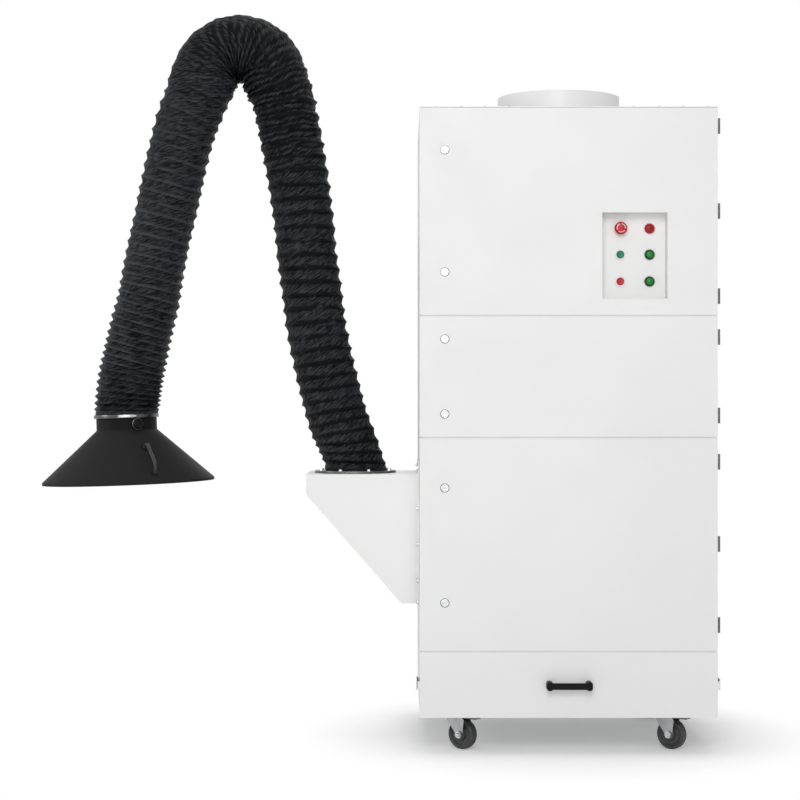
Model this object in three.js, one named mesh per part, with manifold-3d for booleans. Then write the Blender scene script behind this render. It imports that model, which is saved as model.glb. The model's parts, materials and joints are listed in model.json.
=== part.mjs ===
// Mobile welding fume extractor: a white steel cabinet on casters with a fan, two filter cartridges
// and a dust drawer, and an articulated suction arm inside a ribbed hose with a conical hood.
// Millimetres, +Z up, the doors face -Y. X runs from the arm's side to the hinge side.

import * as THREE from 'three';
import { mergeVertices } from 'three/addons/utils/BufferGeometryUtils.js';
import Module from 'manifold-3d';

const wasm = await Module();
wasm.setup();

// Driving dimensions

const gap = 0.3; // between pieces that touch
const overrun = 1; // how far a cutting tool runs past the face that it cuts
const sheet = 2; // folded steel sheet

const cabinet = { width: 800, depth: 700, bottom: 97.2, top: 1739.6, flange: 30 };
const seam = { drawer: 277.1, lower: 851.7, middle: 1179.2, reveal: 3 };
const door = { thickness: 20, seal: 1 };
const roof = { thickness: 3 };
const hinge = { outset: 4.5, inset: 12, radius: 4, pin: 2, length: 42, leaf: 1.8, bar: 12, barInset: 22 };
const hingeHeights = {
  upper: [1688.4, 1459.5, 1230.5],
  middle: [1120.6, 909.4],
  lower: [784.7, 563.7, 345.4],
};
const lock = { inset: 67, head: 25, proud: 3, barrel: 16, tongue: 46, tongueWidth: 14, tongueThick: 3 };
const lockHeights = {
  upper: [1622.8, 1294.7],
  middle: [1114.8, 913.4],
  lower: [714.7, 405.9],
};
const recess = { inset: 135, width: 175, bottom: 1223, top: 1455, depth: 50 }; // inset from the hinge side
const controlColumns = { left: 53.3, right: 132.9 }; // from the recess's left edge
const controlRows = { top: 1415.4, middle: 1344.8, bottom: 1272 };
const stopSwitch = { head: 35, headDepth: 12, proud: 28, stem: 16, tail: 10, crownShare: 0.6 };
const pushButton = { cap: 21.4, proud: 10, bezel: 29, bezelProud: 7, tail: 8 };
const lamp = { base: 28, lens: 24, proud: 11, rim: 4, crownShare: 0.6 };
const collar = { diameter: 347, height: 73, wall: 2, flange: 391, flangeThick: 3, hole: 330 };
const base = { plateBottom: 110, plate: 3, pad: 84, padWidth: 66, padThick: 6 };
const runner = { inset: 15, width: 20, height: 2.7 };
const drawer = { sideRoom: 35, length: 600, height: 134 };
const drawerHandle = { height: 186, width: 123, tall: 24, proud: 35, bar: 8, barTall: 17.4, foot: 17.5 };
const latch = {
  height: 184, tall: 35, proud: 10, front: 18, back: 57, pivotInset: 54, plate: 2.5, pin: 3, pad: 2.2,
};
const keeper = { front: 5, back: 12, proud: 6, tall: 20 };
const deck = { thickness: 3, fanHole: 190, inletRing: 24 };
const filter = {
  length: 500, sideRoom: 63, middleRoom: 3, lip: 17, holeRoom: 3, media: 55, flangeThick: 10,
  pleats: 20, pleat: 12,
};
const tank = { diameter: 150, endRoom: 90, back: 100, topRoom: 24.2, port: 40, tube: 27, mouthRoom: 55 };
const impeller = {
  diameter: 400, eye: 196, lift: 30, height: 96, plate: 3, blade: 3, blades: 7, hub: 70, hubHeight: 40,
};
const motor = {
  diameter: 210, length: 250, plate: 6, plateSpan: 420, plateDepth: 300, leg: 25, shaft: 28, lift: 170,
};
const intake = {
  front: 200, back: 500, top: 744, bottom: 384, lipDrop: 56, reach: 315.4, foot: 49.4,
  plate: 3, plateOver: 34, plateMargin: 12, wallHole: 200,
};
const baffle = { tilt: 0.6, width: 280, length: 150, thick: 2, offset: 20, rise: 96, bracket: 20 };
const swivel = { offset: 181.2, ring: 232, ringThick: 6, boxHole: 182 };
const hose = {
  crestRadius: 90, valleyRadius: 83, boreRadius: 80, sides: 8,
  archRadius: 100, archReach: 332, archHeight: 1857.7,
  ribPitch: 40, basePitch: 30, hoodPitch: 17, boreStep: 5,
};
const pitchShares = { baseEnd: 0.15, hoodStart: 0.6, hoodEnd: 0.95 };
const straightShares = { base: 0.1445, hood: 0.167 }; // of each leg's height, straight at its foot
const splitShares = [0.35, 0.64]; // where along its length the hose is split at an arm joint
const spigot = {
  wall: 3.4, height: 60, lip: 81, lipThick: 3, ear: 4, earGap: 31, earTall: 38, pin: 6, eye: 15,
};
const link = {
  radius: 12.5, flat: 12, flatWidth: 24, flatLength: 70, tubeShare: 0.7, eye: 16,
  pinHead: 10, pinHeadThick: 4,
};
const shoulder = { rise: 49.7 };
const elbow = { offset: 2, rise: 96.3 }; // from the arch's centre, towards the cabinet and up
const knees = { lowerOffset: 110.3, upperOffset: 104.5, drop: 24.7 }; // from the arch's centre
const hood = {
  reach: 655.7, height: 899.4, tiltDegrees: 2, turnDegrees: 27,
  collar: 86, collarHeight: 34, rim: 245, coneHeight: 150,
  rimLip: 7, wall: 2, neckRise: 75, clampWidth: 10, clampThick: 1.6,
};
const hoodHandle = { startShare: 0.27, endShare: 0.8, bendShare: 0.06, proud: 32, radius: 5 };
const damper = { drop: 17, radius: 56, thick: 2.5, shaft: 4, knob: 15, knobDepth: 14, standoff: 4 };
const caster = {
  insetLeft: 104, insetRight: 126, insetFront: 92, insetBack: 92, diameter: 82, width: 30, trail: 17,
  bore: 6, hub: 16, tyre: 9, forkLeg: 2.5, forkTop: 92, forkPlate: 3, race: 48, forkHalf: 24, forkEnd: 11,
  axle: 5, nut: 8, nutThick: 5, turnDegrees: 36.87, roundSteps: 6,
};
const pedal = { pivot: 8, height: 87, reach: 60, width: 26, thick: 3, pin: 3 };

// The hose's two legs, chosen by hand, each place as shares of the way across and of the way up. The lower
// leg counts both from the swivel to the arch's centre. The upper leg counts across from the arch's centre
// to the hood, and up from the hood to the arch's centre.
const lowerLegShares = [
  [0.0663, 0.2029], [0.1867, 0.2634], [0.2771, 0.3248], [0.3398, 0.3925],
  [0.3958, 0.5045], [0.4425, 0.6339], [0.4994, 0.7632], [0.578, 0.8926],
];
const upperLegShares = [
  [0.3868, 0.9506], [0.4723, 0.8759], [0.5814, 0.7264], [0.6769, 0.577],
  [0.768, 0.4274], [0.8465, 0.3084], [0.933, 0.225],
];
const archStart = 163; // degrees from the +u direction, over the top
const archEnd = 21;
const archSteps = 6;

// Materials

function finish(colour, roughness, metalness = 0) {
  return new THREE.MeshStandardMaterial({ color: colour, roughness, metalness });
}

const white = finish(0xe9ebea, 0.5);
const steel = finish(0xb9bcbe, 0.35, 0.9);
const zinc = finish(0xc4c8cb, 0.3, 0.9);
const darkSteel = finish(0x55585a, 0.45, 0.8);
const black = finish(0x1c1d1e, 0.55);
const hoodBlack = finish(0x202123, 0.4, 0.2);
const fabric = finish(0x161718, 0.8);
const rubber = finish(0x2b2c2d, 0.8);
const paper = finish(0xd9d4c4, 0.9);
const motorBlue = finish(0x34506b, 0.5, 0.2);
const red = finish(0xc6161c, 0.35);
const green = finish(0x0f8f6f, 0.35);

// Solids

const machine = new THREE.Group();
machine.name = 'fume_extractor';

function solid(geometry) {
  const bare = geometry.clone();
  bare.deleteAttribute('normal');
  bare.deleteAttribute('uv');
  const merged = mergeVertices(bare, 1e-4);
  const index = merged.index.array;
  return new wasm.Manifold(new wasm.Mesh({
    numProp: 3,
    vertProperties: new Float32Array(merged.attributes.position.array),
    triVerts: new Uint32Array(index),
  }));
}

function join(...pieces) {
  return pieces.reduce((sum, piece) => sum.add(piece));
}

function cut(body, ...tools) {
  return tools.reduce((rest, tool) => rest.subtract(tool), body);
}

function box(x0, x1, y0, y1, z0, z1) {
  const geometry = new THREE.BoxGeometry(x1 - x0, y1 - y0, z1 - z0);
  geometry.translate((x0 + x1) / 2, (y0 + y1) / 2, (z0 + z1) / 2);
  return solid(geometry);
}

// A round rod between two points
function rod(from, to, radius, sides = 12) {
  const span = new THREE.Vector3().subVectors(to, from);
  const geometry = new THREE.CylinderGeometry(radius, radius, span.length(), sides);
  const upright = new THREE.Vector3(0, 1, 0);
  const turn = new THREE.Quaternion().setFromUnitVectors(upright, span.clone().normalize());
  geometry.applyQuaternion(turn);
  const middle = new THREE.Vector3().addVectors(from, to).multiplyScalar(0.5);
  geometry.translate(middle.x, middle.y, middle.z);
  return solid(geometry);
}

function rodX(x0, x1, y, z, radius, sides) {
  return rod(new THREE.Vector3(x0, y, z), new THREE.Vector3(x1, y, z), radius, sides);
}

function rodY(x, y0, y1, z, radius, sides) {
  return rod(new THREE.Vector3(x, y0, z), new THREE.Vector3(x, y1, z), radius, sides);
}

function rodZ(x, y, z0, z1, radius, sides) {
  return rod(new THREE.Vector3(x, y, z0), new THREE.Vector3(x, y, z1), radius, sides);
}

// A closed outline of [x, z] points, extruded along Y
function prismY(points, y0, y1) {
  const shape = new THREE.Shape(points.map(([x, z]) => new THREE.Vector2(x, z)));
  const geometry = new THREE.ExtrudeGeometry(shape, { depth: y1 - y0, bevelEnabled: false });
  geometry.rotateX(Math.PI / 2);
  geometry.translate(0, y1, 0);
  return solid(geometry);
}

// A closed outline of [x, y] points, extruded along Z
function prismZ(points, z0, z1) {
  const shape = new THREE.Shape(points.map(([x, y]) => new THREE.Vector2(x, y)));
  const geometry = new THREE.ExtrudeGeometry(shape, { depth: z1 - z0, bevelEnabled: false });
  geometry.translate(0, 0, z0);
  return solid(geometry);
}

// A closed profile of [radius, z] points, turned about Z
function turned(profile, sides) {
  const points = [...profile, profile[0]].map(([radius, z]) => new THREE.Vector2(radius, z));
  const geometry = new THREE.LatheGeometry(points, sides);
  geometry.rotateX(Math.PI / 2);
  const body = solid(geometry);
  return body.volume() > 0 ? body : solid(flipped(geometry));
}

function flipped(geometry) {
  const index = geometry.index.array.slice();
  for (let i = 0; i < index.length; i += 3) {
    [index[i], index[i + 1]] = [index[i + 1], index[i]];
  }
  const copy = geometry.clone();
  copy.setIndex(Array.from(index));
  return copy;
}

function tube(x, y, z0, z1, outer, inner, sides = 32) {
  return turned([[inner, z0], [outer, z0], [outer, z1], [inner, z1]], sides).translate([x, y, 0]);
}

function geometryOf(body) {
  const mesh = body.getMesh();
  const geometry = new THREE.BufferGeometry();
  geometry.setAttribute('position', new THREE.BufferAttribute(new Float32Array(mesh.vertProperties), 3));
  geometry.setIndex(new THREE.BufferAttribute(new Uint32Array(mesh.triVerts), 1));
  geometry.computeVertexNormals();
  return geometry;
}

function add(name, body, material) {
  const geometry = body.isBufferGeometry ? body : geometryOf(body);
  const mesh = new THREE.Mesh(geometry, material);
  mesh.name = name;
  machine.add(mesh);
  return mesh;
}

// Places worked out from the sizes. The doors' front face is y = 0, the cabinet's middle is x = 0.

const left = -cabinet.width / 2;
const right = cabinet.width / 2;
const innerLeft = left + sheet + gap;
const innerRight = right - sheet - gap;
const shellFront = door.thickness + door.seal;
const shellTop = cabinet.top - roof.thickness - gap;
const backFace = cabinet.depth - sheet;
const middleY = cabinet.depth / 2;
const doorBottoms = { upper: seam.middle, middle: seam.lower, lower: seam.drawer };
const doorTops = {
  upper: shellTop - gap, middle: seam.middle - seam.reveal, lower: seam.lower - seam.reveal,
};
const drawerHalf = cabinet.width / 2 - drawer.sideRoom;
const swivelX = left - swivel.offset;

// Cabinet shell

// A side panel folded in at its back edge. side is -1 on the left and 1 on the right, where the front edge
// is folded in too. On the left a rail that the locks hold on to takes that fold's place.
function sidePanel(side) {
  const outer = side * cabinet.width / 2;
  const inner = outer - side * sheet;
  const lip = outer - side * cabinet.flange;
  const back = backFace - gap;
  const front = side < 0
    ? [[outer, shellFront], [inner, shellFront]]
    : [[outer, shellFront], [lip, shellFront], [lip, shellFront + sheet], [inner, shellFront + sheet]];
  const outline = [...front, [inner, back - sheet], [lip, back - sheet], [lip, back], [outer, back]];
  const wound = side < 0 ? outline.reverse() : outline;
  return prismZ(wound, cabinet.bottom, shellTop);
}

// The fixed pad and pin that a toggle latch turns on
function latchPad(side) {
  const face = side * cabinet.width / 2;
  const pinX = face + side * (latch.proud - latch.pin - latch.plate / 2);
  const half = latch.tall / 2;
  const padFace = face + side * latch.pad;
  const root = face - side * sheet / 2;
  const pad = box(
    Math.min(root, padFace), Math.max(root, padFace),
    latch.pivotInset - latch.pin * 2, latch.pivotInset + latch.pin * 2,
    latch.height - half, latch.height + half,
  );
  const lugs = [-1, 1].map((end) => {
    const outer = latch.height + end * half;
    const inner = outer - end * latch.pad;
    const tip = pinX + side * latch.pin;
    return box(
      Math.min(face, tip), Math.max(face, tip), latch.pivotInset - latch.pin, latch.pivotInset + latch.pin,
      Math.min(outer, inner), Math.max(outer, inner),
    );
  });
  return join(pad, ...lugs);
}

const intakeHole = rodX(
  left - overrun, left + sheet + overrun, (intake.front + intake.back) / 2,
  (intake.top + intake.bottom) / 2, intake.wallHole / 2, 32,
);
add('left_side_panel', join(cut(sidePanel(-1), intakeHole), latchPad(-1)), white);
add('right_side_panel', join(sidePanel(1), latchPad(1)), white);
add('lock_rail', box(
  innerLeft, left + cabinet.flange, shellFront, shellFront + sheet, cabinet.bottom, shellTop,
), white);
add('back_panel', box(left, right, backFace, cabinet.depth, cabinet.bottom, shellTop), white);
add('roof_panel', cut(
  box(left, right, 0, cabinet.depth, cabinet.top - roof.thickness, cabinet.top),
  rodZ(0, middleY, cabinet.top - roof.thickness - overrun, cabinet.top + overrun, collar.hole / 2, 40),
), white);

const collarBottom = cabinet.top + gap;
const collarRadius = collar.diameter / 2;
add('outlet_collar', join(
  tube(0, middleY, collarBottom, cabinet.top + collar.height, collarRadius, collarRadius - collar.wall, 36),
  tube(0, middleY, collarBottom, collarBottom + collar.flangeThick, collar.flange / 2,
    collarRadius - collar.wall, 36),
), white);

// Base plate with a pad over each caster and the drawer's two runners
const casterPlaces = {
  front_left: { x: left + caster.insetLeft, y: caster.insetFront },
  front_right: { x: right - caster.insetRight, y: caster.insetFront },
  back_left: { x: left + caster.insetLeft, y: cabinet.depth - caster.insetBack },
  back_right: { x: right - caster.insetRight, y: cabinet.depth - caster.insetBack },
};
const plateTop = base.plateBottom + base.plate;
const padBottom = base.plateBottom - base.padThick;
const plateFront = shellFront + sheet + gap;
const plateBack = backFace - gap - sheet - gap;

function casterPad({ x, y }) {
  return box(x - base.pad / 2, x + base.pad / 2, y - base.padWidth / 2, y + base.padWidth / 2,
    padBottom, base.plateBottom + sheet);
}

function drawerRunner(side) {
  const middle = side * (drawerHalf - runner.inset);
  return box(middle - runner.width / 2, middle + runner.width / 2, plateFront, plateBack,
    plateTop - sheet / 2, plateTop + runner.height);
}

add('base_frame', join(
  box(innerLeft, innerRight, plateFront, plateBack, base.plateBottom, plateTop),
  ...Object.values(casterPlaces).map(casterPad),
  drawerRunner(-1),
  drawerRunner(1),
), white);

// Decks inside the cabinet

function plate(bottom) {
  return box(innerLeft, innerRight, plateFront, plateBack, bottom, bottom + deck.thickness);
}

const fanDeckTop = seam.middle + deck.thickness;
const tubeSheetTop = seam.lower + deck.thickness;
const inletTop = fanDeckTop + deck.inletRing;
add('fan_deck', cut(
  join(plate(seam.middle), rodZ(0, middleY, seam.middle + overrun, inletTop, deck.fanHole / 2, 28)),
  rodZ(0, middleY, seam.middle - overrun, inletTop + overrun, deck.fanHole / 2 - sheet, 28),
), steel);

const filterFlange = cabinet.width / 2 - filter.sideRoom - filter.middleRoom;
const filterRadius = filterFlange / 2 - filter.lip;
const filterX = filterFlange / 2 + filter.middleRoom;
add('tube_sheet', cut(plate(seam.lower), ...[-1, 1].map((side) => rodZ(
  side * filterX, middleY, seam.lower - overrun, tubeSheetTop + overrun, filterRadius + filter.holeRoom, 32,
))), steel);

// A pleated cartridge that hangs by its flange from the tube sheet
function filterCartridge(side) {
  const top = tubeSheetTop + gap;
  const bottom = top - filter.length;
  const outline = Array.from({ length: filter.pleats * 2 }, (_, i) => {
    const radius = filterRadius - (i % 2) * filter.pleat;
    const angle = i * Math.PI / filter.pleats;
    return [radius * Math.cos(angle), radius * Math.sin(angle)];
  });
  const pleated = prismZ(outline, bottom, top + filter.flangeThick / 2);
  const flangeTop = top + filter.flangeThick;
  const boreRadius = filterRadius - filter.media;
  const flange = rodZ(0, 0, top, flangeTop, filterFlange / 2, 24);
  const bore = rodZ(0, 0, bottom + filter.flangeThick, flangeTop + overrun, boreRadius, 16);
  return cut(join(pleated, flange), bore).translate([side * filterX, middleY, 0]);
}

add('filter_cartridge_left', filterCartridge(-1), paper);
add('filter_cartridge_right', filterCartridge(1), paper);

// Compressed-air tank against the back wall, with a blow tube that ends over each cartridge
function airTank() {
  const y = backFace - tank.back;
  const half = cabinet.width / 2 - tank.endRoom;
  const height = seam.middle - tank.topRoom - tank.port - tank.diameter / 2;
  const mouth = tubeSheetTop + gap + filter.flangeThick + tank.mouthRoom;
  const blow = [-1, 1].map((side) => {
    const x = side * filterX;
    return join(
      rodY(x, middleY, y, height, tank.tube / 2, 8),
      rodZ(x, middleY, mouth, height + tank.tube / 2, tank.tube / 2, 8),
      rodZ(x, y, height, height + tank.diameter / 2 + tank.port, tank.port / 2, 10),
    );
  });
  const saddles = [-1, 1].map((side) => {
    const x = side * (half - tank.port * 2);
    const low = height - tank.port;
    return box(x - tank.port / 2, x + tank.port / 2, y, backFace - gap, low, height + tank.port);
  });
  return join(rodX(-half, half, y, height, tank.diameter / 2, 20), ...blow, ...saddles);
}

add('air_tank', airTank(), darkSteel);

// Motor on a four-legged stand over the fan deck, its shaft pointing down into the impeller
const impellerBottom = fanDeckTop + impeller.lift;
const impellerTop = impellerBottom + impeller.height;
const motorPlateBottom = fanDeckTop + motor.lift;
const hubTop = impellerTop + impeller.hubHeight - impeller.plate;

function fanMotor() {
  const bottom = motorPlateBottom;
  const top = bottom + motor.plate;
  const halfSpan = motor.plateSpan / 2;
  const halfDepth = motor.plateDepth / 2;
  const legs = [-1, 1].flatMap((sx) => [-1, 1].map((sy) => {
    const x = sx * (halfSpan - motor.leg / 2);
    const y = middleY + sy * (halfDepth - motor.leg / 2);
    const half = motor.leg / 2;
    return box(x - half, x + half, y - half, y + half, fanDeckTop + gap, bottom + motor.plate / 2);
  }));
  return join(
    box(-halfSpan, halfSpan, middleY - halfDepth, middleY + halfDepth, bottom, top),
    rodZ(0, middleY, bottom + motor.plate / 2, top + motor.length, motor.diameter / 2, 24),
    rodZ(0, middleY, hubTop - impeller.hubHeight / 2, top, motor.shaft / 2, 12),
    ...legs,
  );
}

add('fan_motor', fanMotor(), motorBlue);

function fanImpeller() {
  const radius = impeller.diameter / 2;
  const half = impeller.blade / 2;
  const blades = Array.from({ length: impeller.blades }, (_, i) => box(
    impeller.eye / 2, radius - impeller.blade, -half, half,
    impellerBottom + impeller.plate / 2, impellerTop - impeller.plate / 2,
  ).translate([0, impeller.hub, 0]).rotate([0, 0, i * 360 / impeller.blades]));
  const shaftHole = motor.shaft / 2 + gap * 2;
  const back = tube(0, 0, impellerTop - impeller.plate, impellerTop, radius, shaftHole, 20);
  const shroud = tube(0, 0, impellerBottom, impellerBottom + impeller.plate, radius, impeller.eye / 2, 20);
  const hub = tube(0, 0, impellerTop - impeller.plate, hubTop, impeller.hub / 2, shaftHole, 20);
  return join(back, shroud, hub, ...blades).translate([0, middleY, 0]);
}

add('fan_impeller', fanImpeller(), steel);

// Doors, hinges and locks

const pinX = right + hinge.outset;
const pinY = hinge.inset;

// The fixed half of a door's hinges: one bar on the side panel, and a lug, knuckle and pin at each height
function hingeStrip(name) {
  const bottom = doorBottoms[name];
  const top = doorTops[name];
  const barFace = pinX - hinge.outset + gap;
  const bar = box(barFace, barFace + hinge.leaf, hinge.barInset, hinge.barInset + hinge.bar,
    bottom + hinge.bar, top - hinge.bar);
  const halves = hingeHeights[name].map((height) => {
    const low = height - hinge.length / 2;
    return join(
      box(barFace, barFace + hinge.leaf, pinY, hinge.barInset + hinge.bar, low, height),
      rodZ(pinX, pinY, low, height, hinge.radius, 10),
      rodZ(pinX, pinY, low + hinge.leaf, height + hinge.length / 2 - hinge.leaf, hinge.pin, 8),
    );
  });
  return join(bar, ...halves);
}

// The door's own knuckles, bored for the pins and joined to its edge
function doorKnuckles(name) {
  return hingeHeights[name].map((height) => {
    const low = height + gap;
    const high = height + hinge.length / 2;
    const knuckle = join(
      rodZ(pinX, pinY, low, high, hinge.radius, 10),
      box(right - sheet / 2, pinX, pinY - hinge.pin, pinY + hinge.pin, low, high),
    );
    return cut(knuckle, rodZ(pinX, pinY, low - overrun, high + overrun, hinge.pin + gap, 8));
  });
}

// A folded pan, open at the back
function pan(x0, x1, z0, z1) {
  return cut(
    box(x0, x1, 0, door.thickness, z0, z1),
    box(x0 + sheet, x1 - sheet, sheet, door.thickness + overrun, z0 + sheet, z1 - sheet),
  );
}

function lockHoles(name) {
  return lockHeights[name].map((height) => rodY(
    left + lock.inset, -overrun, sheet + overrun, height, lock.barrel / 2 + gap, 16,
  ));
}

function plainDoor(name) {
  const body = join(pan(left, right, doorBottoms[name], doorTops[name]), ...doorKnuckles(name));
  return cut(body, ...lockHoles(name));
}

const recessRight = right - recess.inset;
const recessLeft = recessRight - recess.width;
const columnX = { left: recessLeft + controlColumns.left, right: recessLeft + controlColumns.right };

// Collar that a push button slides in, proud of the recess's back
function bezel(height) {
  return rodY(columnX.left, recess.depth - pushButton.bezelProud, recess.depth + sheet / 2, height,
    pushButton.bezel / 2, 24);
}

function upperDoor() {
  const outer = box(recessLeft - sheet, recessRight + sheet, 0, recess.depth + sheet,
    recess.bottom - sheet, recess.top + sheet);
  const inner = box(recessLeft, recessRight, -overrun, recess.depth, recess.bottom, recess.top);
  const body = join(
    cut(join(pan(left, right, doorBottoms.upper, doorTops.upper), outer), inner),
    bezel(controlRows.middle),
    bezel(controlRows.bottom),
    ...doorKnuckles('upper'),
  );
  const buttonHole = (radius, height) => rodY(columnX.left, 0, recess.depth + sheet + overrun, height,
    radius + gap, 20);
  return cut(
    body,
    buttonHole(stopSwitch.stem / 2, controlRows.top),
    buttonHole(pushButton.cap / 2, controlRows.middle),
    buttonHole(pushButton.cap / 2, controlRows.bottom),
    ...lockHoles('upper'),
  );
}

add('upper_hinge_strip', hingeStrip('upper'), darkSteel);
add('middle_hinge_strip', hingeStrip('middle'), darkSteel);
add('lower_hinge_strip', hingeStrip('lower'), darkSteel);
add('upper_door', upperDoor(), white);
add('middle_door', plainDoor('middle'), white);
add('lower_door', plainDoor('lower'), white);

// A quarter-turn lock: round head, barrel through the door and a tongue behind the carcass flange
function camLock(height) {
  const x = left + lock.inset;
  const tongueFront = shellFront + sheet + gap;
  const tongueBack = tongueFront + lock.tongueThick;
  const half = lock.tongueWidth / 2;
  return join(
    rodY(x, -lock.proud, -gap, height, lock.head / 2, 16),
    rodY(x, -lock.proud / 2, tongueBack, height, lock.barrel / 2, 12),
    box(x - half, x + half, tongueFront, tongueBack, height - lock.tongue, height + half),
  );
}

for (const name of ['upper', 'middle', 'lower']) {
  add(`${name}_door_lock_top`, camLock(lockHeights[name][0]), zinc);
  add(`${name}_door_lock_bottom`, camLock(lockHeights[name][1]), zinc);
}

// Controls in the recess

// A profile of [radius, distance in front of the recess's back], turned about Y
function onPanel(x, height, profile, sides = 16) {
  return turned(profile, sides).rotate([90, 0, 0]).translate([x, recess.depth, height]);
}

function mushroom() {
  const { head, headDepth, proud, stem, tail, crownShare } = stopSwitch;
  return onPanel(columnX.left, controlRows.top, [
    [0, -sheet - tail], [stem / 2, -sheet - tail], [stem / 2, proud - headDepth],
    [head / 2, proud - headDepth], [head / 2, proud - headDepth / 2],
    [head / 2 * crownShare, proud], [0, proud],
  ]);
}

function pushCap(height) {
  const radius = pushButton.cap / 2;
  const tail = -sheet - pushButton.tail;
  return onPanel(columnX.left, height, [
    [0, tail], [radius, tail], [radius, pushButton.proud], [0, pushButton.proud],
  ]);
}

function signalLamp(height) {
  const { base: foot, lens, proud, rim, crownShare } = lamp;
  return onPanel(columnX.right, height, [
    [0, gap], [foot / 2, gap], [foot / 2, rim], [lens / 2, rim], [lens / 2, proud - rim / 2],
    [lens / 2 * crownShare, proud], [0, proud],
  ]);
}

add('estop_button', mushroom(), red);
add('start_button', pushCap(controlRows.middle), green);
add('stop_button', pushCap(controlRows.bottom), red);
add('lamp_red', signalLamp(controlRows.top), red);
add('lamp_green_upper', signalLamp(controlRows.middle), green);
add('lamp_green_lower', signalLamp(controlRows.bottom), green);

// Dust drawer

const fasciaTop = seam.drawer - seam.reveal;

function dustDrawer() {
  const floor = plateTop + runner.height + gap;
  const length = drawer.length;
  const body = cut(
    box(-drawerHalf, drawerHalf, sheet / 2, length, floor, floor + drawer.height),
    box(-drawerHalf + sheet, drawerHalf - sheet, sheet, length - sheet,
      floor + sheet, floor + drawer.height + overrun),
  );
  const half = keeper.tall / 2;
  const keepers = [-1, 1].map((side) => {
    const face = side * (cabinet.width / 2 - sheet / 2);
    const tip = side * (cabinet.width / 2 + keeper.proud);
    return box(Math.min(face, tip), Math.max(face, tip), keeper.front, keeper.back,
      latch.height - half, latch.height + half);
  });
  return join(pan(left, right, cabinet.bottom, fasciaTop), body, ...keepers);
}

add('dust_drawer', dustDrawer(), white);

function bridgeHandle() {
  const { height, width, tall, proud, bar, barTall, foot } = drawerHandle;
  const feet = [-1, 1].map((side) => {
    const end = side * width / 2;
    const inner = end - side * foot;
    const low = height - tall / 2;
    return box(Math.min(end, inner), Math.max(end, inner), -proud, -gap, low, height + tall / 2);
  });
  return join(
    box(-width / 2, width / 2, -proud, bar - proud, height - barTall / 2, height + barTall / 2),
    ...feet,
  );
}

add('drawer_handle', bridgeHandle(), black);

// A toggle latch's lever, bored for the side panel's pin, its hook short of the drawer's keeper
function latchLever(side) {
  const face = side * cabinet.width / 2;
  const outer = face + side * latch.proud;
  const inner = outer - side * latch.plate;
  const x = face + side * (latch.proud - latch.pin - latch.plate / 2);
  const half = latch.tall / 2 - latch.pad - gap;
  const low = latch.height - half;
  const high = latch.height + half;
  return join(
    box(Math.min(inner, outer), Math.max(inner, outer), latch.front, latch.back, low, high),
    rodZ(x, latch.pivotInset, low, high, latch.pin, 10),
  );
}

add('drawer_latch_left', latchLever(-1), steel);
add('drawer_latch_right', latchLever(1), steel);

// Intake box on the cabinet's left side: a folded hopper on a flange plate, open to the cabinet

const plateOuter = left - gap - intake.plate;
const reachX = left - intake.reach;
const footX = left - intake.foot;
const intakeLip = intake.top - intake.lipDrop;

function intakeProfile(inset) {
  const slope = (intakeLip - intake.bottom) / (intake.reach - intake.foot);
  const slant = inset * Math.hypot(1, slope) - inset * slope;
  return [
    [left - gap + (inset ? overrun : 0), intake.top - inset],
    [reachX + inset, intake.top - inset],
    [reachX + inset, intakeLip + slant],
    [footX + inset / slope, intake.bottom + inset],
    [left - gap + (inset ? overrun : 0), intake.bottom + inset],
  ];
}

// A sloping plate inside the intake box that knocks sparks down, joined to the front wall by a foot
function sparkBaffle() {
  const y0 = (intake.front + intake.back - baffle.width) / 2;
  const y1 = y0 + baffle.width;
  const x = left - baffle.offset;
  const dx = baffle.length * Math.cos(baffle.tilt);
  const dz = baffle.length * Math.sin(baffle.tilt);
  const { rise, thick, bracket } = baffle;
  const low = intake.bottom + rise;
  const outline = [[x, low], [x - dx, low + dz], [x - dx, low + dz - thick], [x, low - thick]];
  return join(
    prismY(outline, y0, y1),
    box(x - bracket, x, intake.front + sheet / 2, y0 + thick, low - bracket, low - thick / 2),
  );
}

function intakeBox() {
  const { front, back, top, bottom, plateMargin, plateOver } = intake;
  const flange = box(
    plateOuter, left - gap, front - plateMargin, back + plateMargin, bottom - plateMargin, top + plateOver,
  );
  const hopper = prismY(intakeProfile(0), front, back);
  const inside = prismY(intakeProfile(sheet), front + sheet, back - sheet);
  const mouth = rodZ(swivelX, middleY, top - sheet * 2, top + overrun, swivel.boxHole / 2, 32);
  return join(cut(join(flange, hopper), inside, mouth), sparkBaffle());
}

add('intake_box', intakeBox(), white);

const swivelTop = intake.top + gap + swivel.ringThick;
const spigotOuter = hose.boreRadius * Math.cos(Math.PI / hose.sides) - gap;
const spigotInner = spigotOuter - spigot.wall;
add('swivel_flange', tube(
  swivelX, middleY, intake.top + gap, swivelTop, swivel.ring / 2, spigotOuter + gap * 3, 32,
), darkSteel);

// Arm. u is how far a place is left of the swivel axis.

function armPlace(u, z, y = 0) {
  return new THREE.Vector3(swivelX - u, middleY + y, z);
}

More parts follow.
